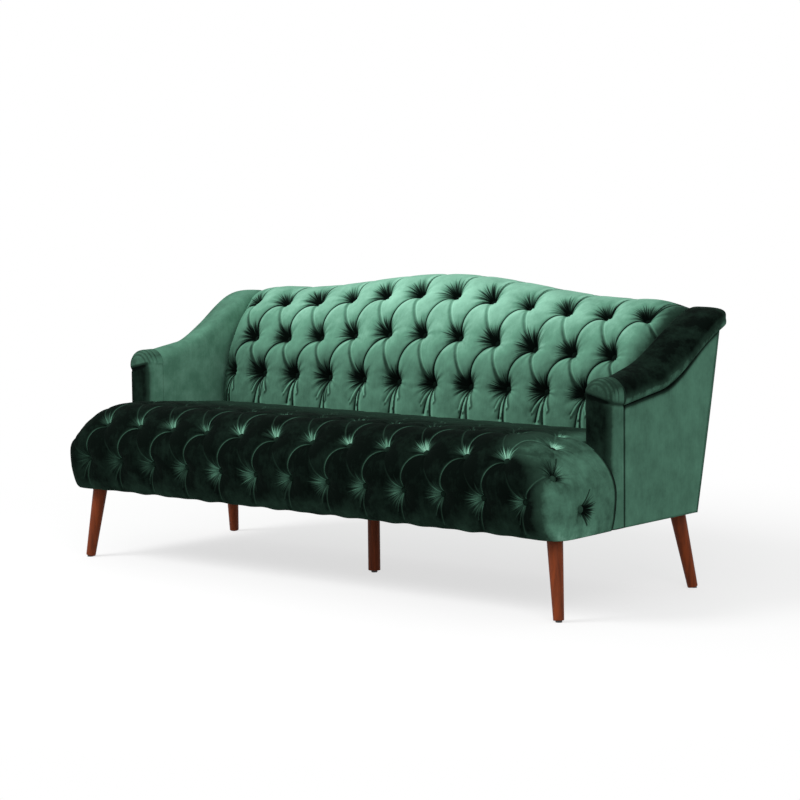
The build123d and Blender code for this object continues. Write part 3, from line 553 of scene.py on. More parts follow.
class Tufting:
    """Buttons and pleats pressed into a skin, with the painted shade and painted highlights that go with
    them.
    """

    def __init__(self, skin):
        count = len(skin.points)
        self.skin = skin
        self.across, self.up = surface_axes(skin.normals)
        self.pit, self.core, self.fold, self.pucker, self.crease_painted_light = (np.zeros(count) for _ in range(5))
        self.window = np.zeros(count)
        self.reach = np.full(count, FAR)
        self.spoke = np.zeros((count, 3))
        self.random = np.random.default_rng(SEED)

    def near(self, low, high, reach):
        """Numbers of the skin's points within reach of a box."""
        points = self.skin.points
        return np.flatnonzero(np.all((points > low - reach) & (points < high + reach), axis=1))

    def press_button(self, place, depth, fans, width=FUNNEL_WIDTH):
        """Funnel depth·exp(-(d/width)^1.2) round a button, with puckers that run out from it and
        fans of painted shade or painted highlight."""
        near = self.near(place, place, FUNNEL_REACH)
        away = self.skin.points[near] - place
        d = np.linalg.norm(away, axis=1)
        self.pit[near] += depth * np.exp(-(d / width) ** 1.2)
        # Painted shade that darkens the pit round each button
        self.core[near] = np.maximum(self.core[near], np.exp(-(d / PIT_SHADE_WIDTH) ** 2))
        angle = np.arctan2((away * self.up[near]).sum(axis=1), (away * self.across[near]).sum(axis=1))
        waves = np.zeros(len(near))
        for count in PUCKER_COUNTS:
            height = self.random.uniform(0.5, 1.0)
            waves += height * np.cos(count * angle + self.random.uniform(0, 2 * math.pi))
        ring = d / PUCKER_WIDTH
        self.pucker[near] += PUCKER_DEPTH * waves * ring * np.exp(1 - ring)
        mark = np.full(len(near), self.random.uniform(0, 40))
        rays = np.stack((np.cos(angle), np.sin(angle), mark), axis=-1)
        for fan in fans:
            fan = fan._replace(turn=fan.turn + self.random.uniform(-12, 12),
                               strength=fan.strength * self.random.uniform(0.75, 1.15),
                               reach=fan.reach * self.random.uniform(0.85, 1.15))
            self.paint_fan_light(near, d / fan.reach, angle, rays, fan)

    def paint_fan_light(self, near, reach, angle, rays, fan):
        """Paints a fan of painted shade or highlight beside a button, most in the fan's direction and less
        to its sides.
        """
        side = math.cos(math.radians(fan.spread))
        facing = (np.cos(angle - math.radians(fan.turn)) - side) / (1 - side)
        window = fan.strength * np.clip(facing, 0.0, 1.0) ** 0.7
        before = np.abs(self.window[near]) * np.exp(-self.reach[near])
        stronger = np.abs(window) * np.exp(-reach) > before
        self.window[near[stronger]] = window[stronger]
        self.reach[near[stronger]] = reach[stronger]
        self.spoke[near[stronger]] = rays[stronger]

    def press_fold(self, path, pleat, side=None):
        """Pleat along a path: a soft valley and a sharp crease, steep on its upper side, both
        deeper towards the ends. A painted shade or highlight line lies on the crease and a painted lip
        below it, which fade towards the path's start. An upright pleat takes a side across the skin as its
        upper."""
        near = self.near(path.min(axis=0), path.max(axis=0), PLEAT_REACH)
        d, share, away = distance_to_path(self.skin.points[near], path)
        direction = self.up[near] if side is None else self.across[near] * side
        above = (away * direction).sum(axis=1) > 0
        crease = np.exp(-d / np.where(above, CREASE_ABOVE, CREASE_BELOW))
        valley = np.exp(-(d / VALLEY_WIDTH) ** 2)
        along = 0.6 + 0.4 * np.abs(2 * share - 1) ** 1.5
        value = pleat.depth * along * (0.7 * crease + 0.3 * valley)
        self.fold[near] = np.maximum(self.fold[near], value)
        level = np.where(above, d, -d)
        line = pleat.line * np.exp(-(d / LINE_WIDTH) ** 2)
        lip = pleat.lip * np.exp(-((level + LIP_BELOW) / LIP_WIDTH) ** 2)
        crease_painted_light = (line + lip) * share ** pleat.fade
        stronger = np.abs(crease_painted_light) > np.abs(self.crease_painted_light[near])
        self.crease_painted_light[near[stronger]] = crease_painted_light[stronger]

    def press(self, soft):
        """Moves the skin in along its normals where it is soft, and returns how far each point's
        normal has turned to the right and downwards, as one number."""
        depth = soft * (self.pit + self.fold + self.pucker)
        self.skin.moved(self.skin.points - self.skin.normals * depth[:, None])
        across = (self.skin.normals * self.across).sum(axis=1)
        up = (self.skin.normals * self.up).sum(axis=1)
        return 0.75 * across - 0.65 * up

    def layers(self, nap, crush):
        """Attributes of the piece, for its velvet."""
        return {"nap": np.clip(nap, -0.2, 1.0), "crush": crush,
                "window": self.window, "reach": self.reach, "spoke": self.spoke}


def lattice(upper, lower, skin, left, right):
    """Pleats between two rows of buttons: from each button of the upper row to the two nearest
    of the lower row, one pleat on its left and one on its right."""
    paths = []
    for top in upper:
        gap = lower[:, 0] - top[0]
        for reach, pleat in ((gap < 0, left), (gap > 0, right)):
            if not reach.any():
                continue
            pick = lower[reach][np.abs(gap[reach]).argmin()]
            if np.linalg.norm(pick - top) < LONGEST_PLEAT:
                paths.append((fold_path(top, pick, pleat.bow, skin), pleat))
    return paths


def row_places(count, pitch):
    """X of the buttons of a centred row."""
    return pitch * (np.arange(count) - (count - 1) / 2)


def button_domes(places, normals, radius):
    """Covered buttons: domes of a quarter ellipse turned round each normal, with a flat back, as
    one skin."""
    rise = np.linspace(0.0, math.pi / 2, DOME_RINGS)
    turn = np.linspace(0.0, 2 * math.pi, DOME_SIDES, endpoint=False)
    radial = np.append(0.0, radius * np.cos(rise))
    lift = np.append(0.0, DOME_HEIGHT * np.sin(rise))
    across, up = surface_axes(normals)
    circle = np.cos(turn)[:, None] * across[:, None] + np.sin(turn)[:, None] * up[:, None]
    grid = places[:, None, None] + radial[:, None] * circle[:, :, None]
    grid = grid + lift[:, None] * normals[:, None, None]
    one = grid_quads(DOME_SIDES, DOME_RINGS + 1, wrap=True)
    first = DOME_SIDES * (DOME_RINGS + 1) * np.arange(len(places))
    return Skin(grid.reshape(-1, 3), (one + first[:, None, None]).reshape(-1, 4))


# Inside back

# Side view of the crown by rows: row 0 is the lowest row of buttons. Lift is a row's share of the
# camel line and tuck its share of the draw at the arms.
BACK_KNOTS = np.array((-1.2, -0.7, 0.0, 1.0, 2.0, 2.38, 2.73, 3.0, 3.28))
BACK_SPANS = np.array((0.062, 0.087, 0.121, 0.137, 0.051, 0.046, 0.036, 0.038))
BACK_Y = np.array((0.128, 0.128, 0.1381, 0.1813, 0.2631, 0.308, 0.353, 0.3885, 0.408))
BACK_Z = np.array((0.400, 0.462, 0.5479, 0.6609, 0.7718, 0.796, 0.804, 0.800, 0.768))
BACK_LIFT = np.array((0.0, 0.0, 0.0, 0.62, 0.8, 1.0, 1.0, 1.0, 1.0))
BACK_TUCK = np.array((1.0, 1.0, 1.0, 1.0, 0.85, 0.5, 0.25, 0.08, 0.0))
RAKED_ROW = 3.2
RAKE = math.tan(math.radians(12.4))
REAR_FOOT = 0.288
FRAME_BOTTOM = 0.222
RETURN_LEVELS = np.array((0.75, 0.66, 0.56, 0.46, 0.40))
RETURN_GAP = 0.075
BACK_COUNTS = (12, 11, 12)
PAST_END = 0.01
BACK_CRUSH = 0.34
# Painted shade of the back's buttons deep in their pits, and the painted light level of the back's rear
# faces
BACK_BUTTON_PAINTED_SHADE = 0.02
REAR_PAINTED_LIGHT = 0.5

# Back pleats: most creases carry a painted shade line with a painted highlight lip below it; the
# right-hand pleats and the short feet the other way round
BACK_LEFT = Pleat(bow=0.12, depth=0.007, line=-0.62, lip=0.07)
BACK_RIGHT = Pleat(bow=-0.05, depth=0.0045, line=0.12, lip=-0.22)
BACK_CREST = Pleat(bow=-0.03, depth=0.009, line=-0.62, lip=0.12)
BACK_CREST_SHORT = Pleat(bow=-0.03, depth=0.004, line=-0.36, lip=0.14)
BACK_FOOT = Pleat(bow=0.0, depth=0.006, line=-0.52, lip=0.13)
BACK_FOOT_SHORT = Pleat(bow=0.0, depth=0.004, line=0.26, lip=-0.20)
BACK_CRESTS = (Run(0.036, 3.05, BACK_CREST), Run(0.021, 2.75, BACK_CREST_SHORT))
BACK_FEET = (Run(-0.014, -0.90, BACK_FOOT), Run(0.006, -0.95, BACK_FOOT),
             Run(-0.026, -0.55, BACK_FOOT_SHORT), Run(-0.004, -0.65, BACK_FOOT_SHORT),
             Run(0.021, -0.45, BACK_FOOT_SHORT))
# Fans of painted shade beside the back's buttons, to their upper left, and wider and more to the left on
# the lowest row
BACK_FAN = Fan(turn=140.0, spread=100.0, strength=-0.62, reach=0.056)
BACK_LOW_FAN = Fan(turn=160.0, spread=140.0, strength=-0.62, reach=0.050)


def shoulder_way(s, x):
    """Way out along a shoulder of the back: 0 at its start and 1 at the arm."""
    return np.clip((np.abs(x) - (s.half_inside - s.shoulder_length)) / s.shoulder_length, 0.0, None)


def hump(s, x):
    """Camel line: rise·cos²(pi x / 2 span) over the middle, less a square fall at the shoulders."""
    wave = s.camel_rise * np.cos(math.pi * x / (2 * s.camel_half)) ** 2
    return np.where(np.abs(x) < s.camel_half, wave, 0.0) - s.shoulder_drop * shoulder_way(s, x) ** 2


def rear_face(z):
    """Y of the sloping rear face at a height."""
    return REAR_FOOT + (z - FRAME_BOTTOM) * RAKE


def back_grid(s, x, row):
    """Crown of the inside back: a cubic up the side view through its rows, each row raised by
    its share of the camel line, with ends that draw in to the arms on a quarter ellipse."""
    lift = BACK_LIFT[:, None] * hump(s, x)[None]
    end = np.minimum(shoulder_way(s, x), 0.99)
    tuck = s.back_tuck * (1 - np.sqrt(1 - end ** 2))
    y = BACK_Y[:, None] + RAKE * lift * (BACK_KNOTS[:, None] > RAKED_ROW) + BACK_TUCK[:, None] * tuck[None]
    side = np.stack((y, BACK_Z[:, None] + lift), axis=-1)
    side = cubic_through(BACK_KNOTS, side, np.asarray(row, dtype=float))
    return np.concatenate((np.broadcast_to(x[None, :, None], side.shape[:2] + (1,)), side), axis=-1)


def back_skin(s):
    """Closed skin of the inside back: the crown, then a return down the slope behind it."""
    x = np.linspace(-s.half_inside, s.half_inside, steps(2 * s.half_inside, s.back_step) + 1)
    length = np.append(0.0, np.cumsum(BACK_SPANS))
    way = np.linspace(0.0, length[-1], steps(length[-1], s.back_step) + 1)
    crown = back_grid(s, x, np.interp(way, length, BACK_KNOTS))
    level = RETURN_LEVELS[:, None]
    z = level + hump(s, x)[None] * np.clip((level - 0.5) / 0.25, 0.0, 1.0)
    inside = points_of(x, rear_face(z) - RETURN_GAP, z)
    return closed_skin(np.concatenate((crown, inside)), wrap=True)


def press_back(s, tufts, rows):
    """Presses the diamonds between the rows of buttons, the pleats over the top, the pleats down
    from the lowest row, which sway at random, and the buttons."""
    skin = tufts.skin
    ends = back_grid(s, np.array((-1.0, 1.0)) * (s.half_inside + PAST_END), (1.0,))[0]
    middle = np.concatenate((ends[:1], rows[1], ends[1:]))
    folds = lattice(rows[2], middle, skin, BACK_LEFT, BACK_RIGHT)
    folds += lattice(middle, rows[0], skin, BACK_LEFT, BACK_RIGHT)
    for path, pleat in folds:
        tufts.press_fold(path, pleat)
    for shift, end, pleat in BACK_CRESTS:
        crest = back_grid(s, rows[2][:, 0] + shift, (end,))[0]
        for low, high in zip(rows[2], crest):
            tufts.press_fold(fold_path(low, high, pleat.bow, skin), pleat, side=1.0)
    for shift, end, pleat in BACK_FEET:
        for high in rows[0]:
            sway, stop = tufts.random.uniform(-SWAY, SWAY), tufts.random.uniform(0.8, 1.05)
            low = back_grid(s, high[:1] + shift + sway, (max(end * stop, -1.0),))[0, 0]
            tufts.press_fold(fold_path(high, low, SWAY_BOW * sway, skin), pleat, side=-1.0)
    for row, fan in zip(rows, (BACK_LOW_FAN, BACK_FAN, BACK_FAN)):
        for place in row:
            tufts.press_button(place, s.back_depth, (fan,))


def back_painted_light(s, tufts, height, lit):
    """Painted light of the back: lighter upwards and in the middle, painted shade beside the right arm,
    painted shade on the slopes that face right or down, and painted shade at the buttons."""
    skin = tufts.skin
    x = skin.points[:, 0]
    # Painted light rising upwards and to the middle, and painted shade where the back meets the right arm
    base = 0.41 + 0.34 * ease((height - 0.52) / 0.33) + 0.10 * (1 - (x / s.half_inside) ** 2)
    base = base - 0.44 * ease((x - 0.73) / 0.10)
    # Painted shade on slopes turned right or down, and a little painted light on those turned left or up
    slopes = 0.18 * np.clip(-lit, 0, 1) - 0.45 * np.clip(lit, 0, 1)
    nap = base + slopes - 0.70 * tufts.core + tufts.crease_painted_light
    return np.where(skin.normals[:, 1] > 0.5, REAR_PAINTED_LIGHT, nap)


class SOFA_OT_back(Operator):
    """Builds the deep-buttoned inside back and its buttons"""

    bl_idname = "sofa.back"
    bl_label = "Inside back"

    def execute(self, context):
        s = context.scene.sofa_sizes
        skin = back_skin(s)
        rows = [back_grid(s, row_places(count, s.pitch), (row,))[0]
                for row, count in enumerate(BACK_COUNTS)]
        seats, out = drape(np.concatenate(rows), skin)
        tufts = Tufting(skin)
        press_back(s, tufts, rows)
        y, height = skin.points.T[1:]
        soft = ease((rear_face(height) - 0.012 - y) / 0.02)
        lit = tufts.press(np.where(skin.normals[:, 1] > 0.4, 0.0, soft))
        layers = tufts.layers(back_painted_light(s, tufts, height, lit), BACK_CRUSH)
        make_velvet("inside_back", skin, ["back_cover", "back_foam"], layers)
        domes = button_domes(seats - out * s.back_depth, out, s.button_radius)
        make_velvet("back_button_domes", domes, ["back_buttons"], {"nap": BACK_BUTTON_PAINTED_SHADE})
        return {"FINISHED"}


# Seat

EAR_SQUARENESS = 4.2
EAR_SOFTNESS = 2.6
SLOPE_START = -0.260
EAR_TURN = 102.0
EAR_ARC = 0.40
ROLL_ARC = 0.20
ROLL_ANGLE = math.radians(142.0)
UNDERSIDE = 0.005
REAR_LAP = 0.012
FRONT_COUNT = 13
FRONT_Z = 0.312
ROLL_COUNT = 12
TOP_ROWS = ((-0.261, 13), (-0.147, 12), (-0.033, 11))
EAR_TOP = (0.906, -0.362)
EAR_SIDE = np.array((0.928, -0.290, 0.294))
EAR_FUNNEL = 0.036

# Seat pleats: painted highlight lines on the front and top, and painted shade lines at the ears
SEAT_LEFT = Pleat(bow=0.12, depth=0.008, line=0.42, lip=-0.05)
SEAT_RIGHT = Pleat(bow=-0.04, depth=0.005, line=0.36, lip=0.0, fade=2.0)
TOP_LEFT = Pleat(bow=0.12, depth=0.007, line=0.44, lip=-0.05)
TOP_RIGHT = Pleat(bow=-0.04, depth=0.005, line=0.24, lip=0.0)
SEAT_FOOT = Pleat(bow=0.0, depth=0.006, line=0.26, lip=-0.06)
SEAT_FOOT_SHORT = Pleat(bow=0.0, depth=0.003, line=0.14, lip=0.0)
SEAT_FEET = (Run(0.0, 0.004, SEAT_FOOT), Run(-0.014, 0.040, SEAT_FOOT_SHORT))
EAR_LINE = Pleat(bow=0.0, depth=0.003, line=-0.50, lip=0.06)
EAR_TIPS = np.array(((0.0, 0.036, 0.050), (0.0, 0.030, -0.046)))
EAR_TOP_LINE = Pleat(bow=0.0, depth=0.003, line=-0.34, lip=0.05)
EAR_TOP_TIP = np.array((-0.034, 0.042, 0.030))
# Fans of painted highlight beside the buttons of the front, the roll and the top; beside the ears' buttons
# mostly painted shade with a little painted highlight below
FRONT_FANS = (Fan(turn=178.0, spread=120.0, strength=0.56, reach=0.046),)
ROLL_FANS = (Fan(turn=108.0, spread=85.0, strength=0.76, reach=0.042),)
TOP_FANS = (Fan(turn=100.0, spread=75.0, strength=0.72, reach=0.038),)
EAR_FANS = (Fan(turn=35.0, spread=75.0, strength=-0.62, reach=0.042),
            Fan(turn=165.0, spread=70.0, strength=-0.50, reach=0.050),
            Fan(turn=270.0, spread=60.0, strength=0.20, reach=0.032))
EAR_SIDE_FANS = (Fan(turn=0.0, spread=55.0, strength=-0.85, reach=0.064),)


def seat_ways(s, x, y):
    """Way out along an ear and way out over the rolled front, each 1 at the outline."""
    out = np.clip((np.abs(x) - (s.seat_half - s.ear_round)) / s.ear_round, 0.0, None)
    forward = np.clip((s.seat_front + s.seat_roll - y) / s.seat_roll, 0.0, None)
    return out, forward


def seat_rise(s, x, y):
    """Share of the shoulder reached at a place: 0 on the flat top and 1 at the outline. It is the
    power sum of the two ways out."""
    out, forward = seat_ways(s, x, y)
    return (out ** EAR_SQUARENESS + forward ** EAR_SQUARENESS) ** (1 / EAR_SQUARENESS)


def seat_height(s, x, y):
    """Crown of the seat's top: an elliptical fall to the outline, deeper over an ear's side than
    over the rolled front, and a slope down to the rear."""
    out, forward = seat_ways(s, x, y)
    drop = s.ear_drop + s.ear_fall * out ** 2 / np.maximum(out ** 2 + forward ** 2, 1e-9)
    share = np.clip(seat_rise(s, x, y), 0.0, 1.0)
    soft = (out ** EAR_SOFTNESS + forward ** EAR_SOFTNESS) ** (1 / EAR_SOFTNESS)
    share = np.clip(share + (soft - share) * np.minimum(1.0, 3 * (1 - share)), 0.0, 1.0)
    slope = s.seat_fall * np.clip((y - SLOPE_START) / (s.seat_rear - SLOPE_START), 0.0, None) ** 1.2
    return s.seat_top - drop * (1 - np.sqrt(1 - share ** 2)) - slope


def seat_columns(s):
    """Plan of the seat's grid columns: an inner point, a direction out, the reach to the outline,
    found by halving, the share of it that is kept behind an ear, and the turn. Columns run round
    the left ear, along the front and round the right ear."""
    x = np.linspace(-s.half_inside, s.half_inside, steps(2 * s.half_inside, s.seat_step) + 1)
    ear = np.radians(np.linspace(0.0, EAR_TURN, steps(EAR_ARC, s.seat_step) + 1))[1:]
    turn = np.concatenate((-ear[::-1], np.zeros(len(x)), ear))
    end = np.full(len(ear), s.half_inside)
    inner_x = np.concatenate((-end, x, end))
    inner = np.stack((inner_x, np.full(len(turn), s.arm_front)), axis=-1)
    out = np.stack((np.sin(turn), -np.cos(turn)), axis=-1)
    near, far = np.zeros(len(turn)), np.full(len(turn), 0.6)
    for _ in range(40):
        middle = (near + far) / 2
        place = inner + out * middle[:, None]
        inside = seat_rise(s, place[:, 0], place[:, 1]) < 1
        near, far = np.where(inside, middle, near), np.where(inside, far, middle)
    rear = np.clip((np.abs(np.degrees(turn)) - 86.0) / 16.0, 0.0, 1.0)
    return inner, out, near, 1 - 0.14 * rear ** 2, np.abs(turn)


def seat_apron(s, columns):
    """Grid of the seat in front of the arms. Each column runs from under the seat out to the lower
    edge, up the side, over the roll and in to the front line of the arms."""
    inner, out, reach, shrink, turn = columns
    outline = inner + out * reach[:, None]
    wall = seat_height(s, outline[:, 0], outline[:, 1]) - s.seat_bottom
    rise = np.linspace(0.0, 1.0, steps(wall.max(), s.seat_step) + 1)[:, None]
    roll = np.linspace(0.0, math.pi / 2, steps(ROLL_ARC, s.seat_step) + 1)[1:]
    flat = s.arm_front - (s.seat_front + s.seat_roll)
    top = np.linspace(1.0, 0.0, steps(flat, s.seat_step) + 1)[1:]
    depth = s.seat_roll + flat
    inwards = np.concatenate((1 - (1 - np.cos(roll)) * s.seat_roll / depth, top * flat / depth))[:, None]
    ahead = np.maximum(1 - np.sin(turn), 0.0) ** 2
    tuck = s.ear_tuck + (s.front_tuck - s.ear_tuck) * ahead
    curl = 0.004 + 0.006 * ahead
    side_reach = reach * shrink - (tuck * (1 - rise) ** 1.9 + curl * np.exp(-rise / 0.05))
    under_reach = np.array((0.0, 0.4, 0.75))[:, None] * side_reach[:1]
    spread = np.concatenate((under_reach, side_reach, reach * shrink * inwards))
    plan = inner + out * spread[:, :, None]
    full = inner + out * (reach * inwards)[:, :, None]
    height = np.concatenate((np.full(under_reach.shape, s.seat_bottom + UNDERSIDE),
                             s.seat_bottom + rise * wall,
                             seat_height(s, full[:, :, 0], full[:, :, 1])))
    return np.concatenate((plan, height[:, :, None]), axis=-1)


def seat_skin(s):
    """Closed skin of the T seat: the apron, and between the arms a second grid that carries the
    top on to the back, falls behind it and comes back underneath."""
    columns = seat_columns(s)
    apron = seat_apron(s, columns)
    main = np.flatnonzero(columns[-1] == 0)
    x = columns[0][main, 0]
    count = steps(s.seat_rear - s.arm_front, s.seat_step) + 1
    y = np.linspace(s.arm_front, s.seat_rear + REAR_LAP, count)[:, None]
    fall = np.clip((y - (s.seat_rear - 0.022)) / 0.034, 0.0, 1.0)
    top = seat_height(s, x[None], y) - 0.030 * (1 - np.sqrt(1 - fall ** 2))
    z = np.concatenate((top, np.repeat(((0.40,), (0.33,), (s.seat_bottom + UNDERSIDE,)), len(x), axis=1)))
    y = np.concatenate((y, np.full((3, 1), s.seat_rear + REAR_LAP)))
    rear = points_of(x, y, z)
    return closed_skin(apron, np.concatenate((rear, apron[:1, main])))


def seat_rows(s):
    """Crown places of the seat's rows of buttons, from the front face up and to the rear. The
    rolled edge's row has the buttons on top of the ears at its ends."""
    middle_z = s.seat_top - s.ear_drop
    front_y = s.seat_front + s.front_tuck * (middle_z - FRONT_Z) / (middle_z - s.seat_bottom)
    roll_y = s.seat_front + s.seat_roll + s.seat_roll * math.cos(ROLL_ANGLE)
    front = points_of(row_places(FRONT_COUNT, s.pitch), front_y, FRONT_Z)
    ear_x, ear_y = EAR_TOP
    edge = np.concatenate(((-ear_x,), row_places(ROLL_COUNT, s.pitch), (ear_x,)))
    upper = [(edge, np.where(np.abs(edge) > s.ear_start, ear_y, roll_y))]
    upper += [(row_places(count, s.pitch), y) for y, count in TOP_ROWS]
    return [front] + [points_of(x, y, seat_height(s, x, y)) for x, y in upper]


def press_seat_pleats(s, tufts, rows, sides):
    """Presses the diamonds, the pleats down to the lower edge, the lines at the ears' buttons and
    the pleats from the last row to the back."""
    skin = tufts.skin
    folds = lattice(rows[1], rows[0], skin, SEAT_LEFT, SEAT_RIGHT)
    for upper, lower in zip(rows[2:], rows[1:]):
        folds += lattice(upper, lower, skin, TOP_LEFT, TOP_RIGHT)
    for path, pleat in folds:
        tufts.press_fold(path, pleat)
    for shift, stop, pleat in SEAT_FEET:
        for high in rows[0]:
            sway = tufts.random.uniform(-SWAY, SWAY)
            low = np.array((high[0] + shift + sway, high[1] + 0.02, s.seat_bottom + stop))
            tufts.press_fold(fold_path(high, low, SWAY_BOW * sway, skin), pleat, side=1.0)
    for place in sides:
        for tip in EAR_TIPS:
            tufts.press_fold(fold_path(place, place + tip, 0.0, skin), EAR_LINE)
    for place in (rows[1][0], rows[1][-1]):
        tip = place + EAR_TOP_TIP * (np.sign(place[0]), 1.0, 1.0)
        tufts.press_fold(fold_path(place, tip, 0.0, skin), EAR_TOP_LINE, side=1.0)
    for end in rows[-1]:
        rear = np.array((end[0], s.seat_rear - 0.01, end[2]))
        tufts.press_fold(fold_path(end, rear, 0.0, skin), TOP_RIGHT, side=1.0)


def press_seat_buttons(s, tufts, rows, depths, sides):
    """Presses the buttons. The fans on the front and the top are weaker towards the left end."""
    for row, depth, fans in zip(rows, depths, (FRONT_FANS, ROLL_FANS, TOP_FANS, TOP_FANS, TOP_FANS)):
        for place in row:
            if abs(place[0]) > s.ear_start:
                tufts.press_button(place, depth, EAR_FANS, EAR_FUNNEL)
            else:
                share = 0.4 + 0.6 * ease((place[0] + 0.85) / 0.7)
                weaker = [fan._replace(strength=fan.strength * share) for fan in fans]
                tufts.press_button(place, depth, weaker)
    for place in sides:
        tufts.press_button(place, s.ear_depth, EAR_SIDE_FANS)


def ripple_edge(s, skin):
    """Lifts the lower edge between the ears in small waves, one by the buttons' pitch and one
    across it, that die away upwards."""
    x, y, z = skin.points.T
    wave = 2 + np.cos(2 * math.pi * x / s.pitch) + np.sin(71 * x + 23 * y)
    middle = ease((s.half_inside - np.abs(x)) / 0.06)
    skin.points[:, 2] = z + 0.0011 * wave * np.exp(-(z - s.seat_bottom) / 0.012) * middle


def seat_painted_light(s, tufts, flat, lit):
    """Painted light and crush of the seat, by the normals before it was pressed: nearly black in front,
    with painted sheen on top, at the lower edge and most on the right ear and the left ear's side.
    Pleats show painted highlight lines on the dark pile and painted shade lines on the ear."""
    x, y, z = tufts.skin.points.T
    # Painted sheen at the lower edge, on the top and over the ears, by how the faces turned before
    # pressing
    edge = np.exp(-(z - s.seat_bottom) / 0.028) * (flat[:, 2] < 0.3)
    top = ease((flat[:, 2] - 0.5) / 0.4) * ease((y + 0.30) / 0.40)
    ear = 0.50 * ease((0.5 * flat[:, 0] + (x - 0.80) / 0.27 - 0.13) / 0.62)
    ear = ear + 0.40 * ease((-flat[:, 0] - 0.80) / 0.15)
    ear = np.maximum(ear, 0.36 * ease((x - 0.68) / 0.14) * ease((flat[:, 2] - 0.55) / 0.3))
    # Painted shade on the ears just behind the arms' fronts, where the two meet
    behind = ease((y - s.arm_front + 0.012) / 0.012) * (np.abs(x) > s.half_inside + 0.04)
    base = 0.01 + 0.17 * top + 0.26 * edge * (1 - ear) + ear * (1 - 0.85 * behind)
    # Painted sheen on slopes turned right and down, painted shade on the others
    glow = 0.14 * np.clip(lit - 0.1, 0, 1) ** 1.2 - 0.22 * np.clip(-lit, 0, 1)
    crease_painted_light = np.where(tufts.crease_painted_light > 0, tufts.crease_painted_light * (1 - 2.4 * ear), tufts.crease_painted_light)
    # Painted shade in the buttons' pits, deeper on the ears, and the pleats' painted lines
    nap = base + glow - (0.1 + 0.6 * ear) * tufts.core + crease_painted_light
    # Painted highlight along the ridge where the seat meets the back
    ridge = 0.22 * np.exp(-((y - s.seat_rear + 0.010) / 0.006) ** 2) * (flat[:, 2] > 0.2)
    return nap + ridge, 0.26 + 0.8 * edge + 0.5 * ear


class SOFA_OT_seat(Operator):
    """Builds the deep-buttoned T seat and its buttons"""

    bl_idname = "sofa.seat"
    bl_label = "Seat"

    def execute(self, context):
        s = context.scene.sofa_sizes
        skin = seat_skin(s)
        rows = [drape(row, skin)[0] for row in seat_rows(s)]
        sides = drape(EAR_SIDE * np.array(((-1.0, 1.0, 1.0), (1.0, 1.0, 1.0))), skin)[0]
        depths = (s.front_depth, s.roll_depth, s.top_depth, s.top_depth, s.top_depth)
        tufts = Tufting(skin)
        press_seat_pleats(s, tufts, rows, sides)
        press_seat_buttons(s, tufts, rows, depths, sides)
        seats, out = drape(np.concatenate((*rows, sides)), skin)
        sink = np.repeat((*depths, s.ear_depth), [len(row) for row in (*rows, sides)])
        under = (skin.normals[:, 2] < -0.7) | (skin.points[:, 2] < s.seat_bottom + 0.002)
        soft = np.where(under, 0.0, ease((skin.points[:, 2] - s.seat_bottom + 0.02) / 0.05))
        flat = skin.normals
        lit = tufts.press(soft)
        ripple_edge(s, skin)
        layers = tufts.layers(*seat_painted_light(s, tufts, flat, lit))
        make_velvet("seat", skin, ["seat_cover", "seat_foam"], layers)
        domes = button_domes(seats - out * sink[:, None], out, s.button_radius)
        on_ear = np.abs(domes.points[:, 0]) > s.ear_start
        # The seat's buttons take a painted light level: lighter on the ears, dark elsewhere
        make_velvet("seat_button_domes", domes, ["seat_buttons"], {"nap": np.where(on_ear, 0.34, 0.10)})
        return {"FINISHED"}


# Arms

ARM_LENGTH = 0.47
ARM_REAR = 0.405
ARM_FOOT = 0.380
ARM_SLOPE = 0.17
SEAM_SLOPE = 0.14
ROLL_HEIGHT = 0.072
ROLL_OUT = 0.009
ROLL_SPREAD = 0.025
ROLL_WIDEST = 0.350
CROWN_HEIGHT = 0.040
FRONT_BELLY = 0.050
REAR_BELLY = 0.036
LINING = 0.020
SEAM_INSET = 0.002
LOBE_START = 0.90
CAP_RIM = 0.024
CAP_STEP = 0.004
KNOB_PLEATS = (0.034, 0.050, 0.067, 0.084)
KNOB_PLEAT_WIDTH = 0.0026
KNOB_SEAM_WIDTH = 0.0035

# Painted light and shade of the faces turned to the sofa's left, to the front and top, and to its right.
RIGHT_ARM_PAINTED_LIGHT = (0.40, 0.02, 0.05)
LEFT_ARM_PAINTED_LIGHT = (0.05, 0.56, 0.70)
RIGHT_CAP_PAINTED_LIGHT = (0.10, 0.05, 0.55)
LEFT_CAP_PAINTED_LIGHT = (0.10, 0.05, 0.70)
# Painted light of the knobs, painted shade of the arms' fronts, and the painted light level of the outside
# back
RIGHT_KNOB_PAINTED_LIGHT = 0.33
LEFT_KNOB_PAINTED_LIGHT = 0.42
ARM_FRONT_PAINTED_SHADE = 0.05
OUTSIDE_BACK_PAINTED_LIGHT = 0.47
ARM_CRUSH = 0.40


def arm_half(s):
    """Half the width of an arm."""
    return (s.half_body - s.half_inside) / 2


def arm_top(s, y):
    """Top line of an arm: a gentle slope, a smooth swoop up to the back and a last small lift."""
    swoop = s.arm_rise * ease((y - 0.050) / 0.300) + 0.005 * ease((y - 0.280) / 0.090)
    return s.arm_height + ARM_SLOPE * (y - s.cap_back) + swoop


def roll_edge(s, y):
    """Outermost X of the roll, wider to the rear."""
    return s.half_body + ROLL_OUT + ROLL_SPREAD * ease((y - s.cap_back) / (ROLL_WIDEST - s.cap_back))


def roll_seam(s, y):
    """Height of the seam under the roll: a slope, and a later swoop than the top line's."""
    swoop = s.seam_rise * ease((y - 0.110) / 0.320)
    return s.arm_height - ROLL_HEIGHT + SEAM_SLOPE * (y - s.cap_back) + swoop


def quarter(count):
    """Angles of a quarter turn after the first, as a column."""
    return np.linspace(0.0, math.pi / 2, count)[1:, None]


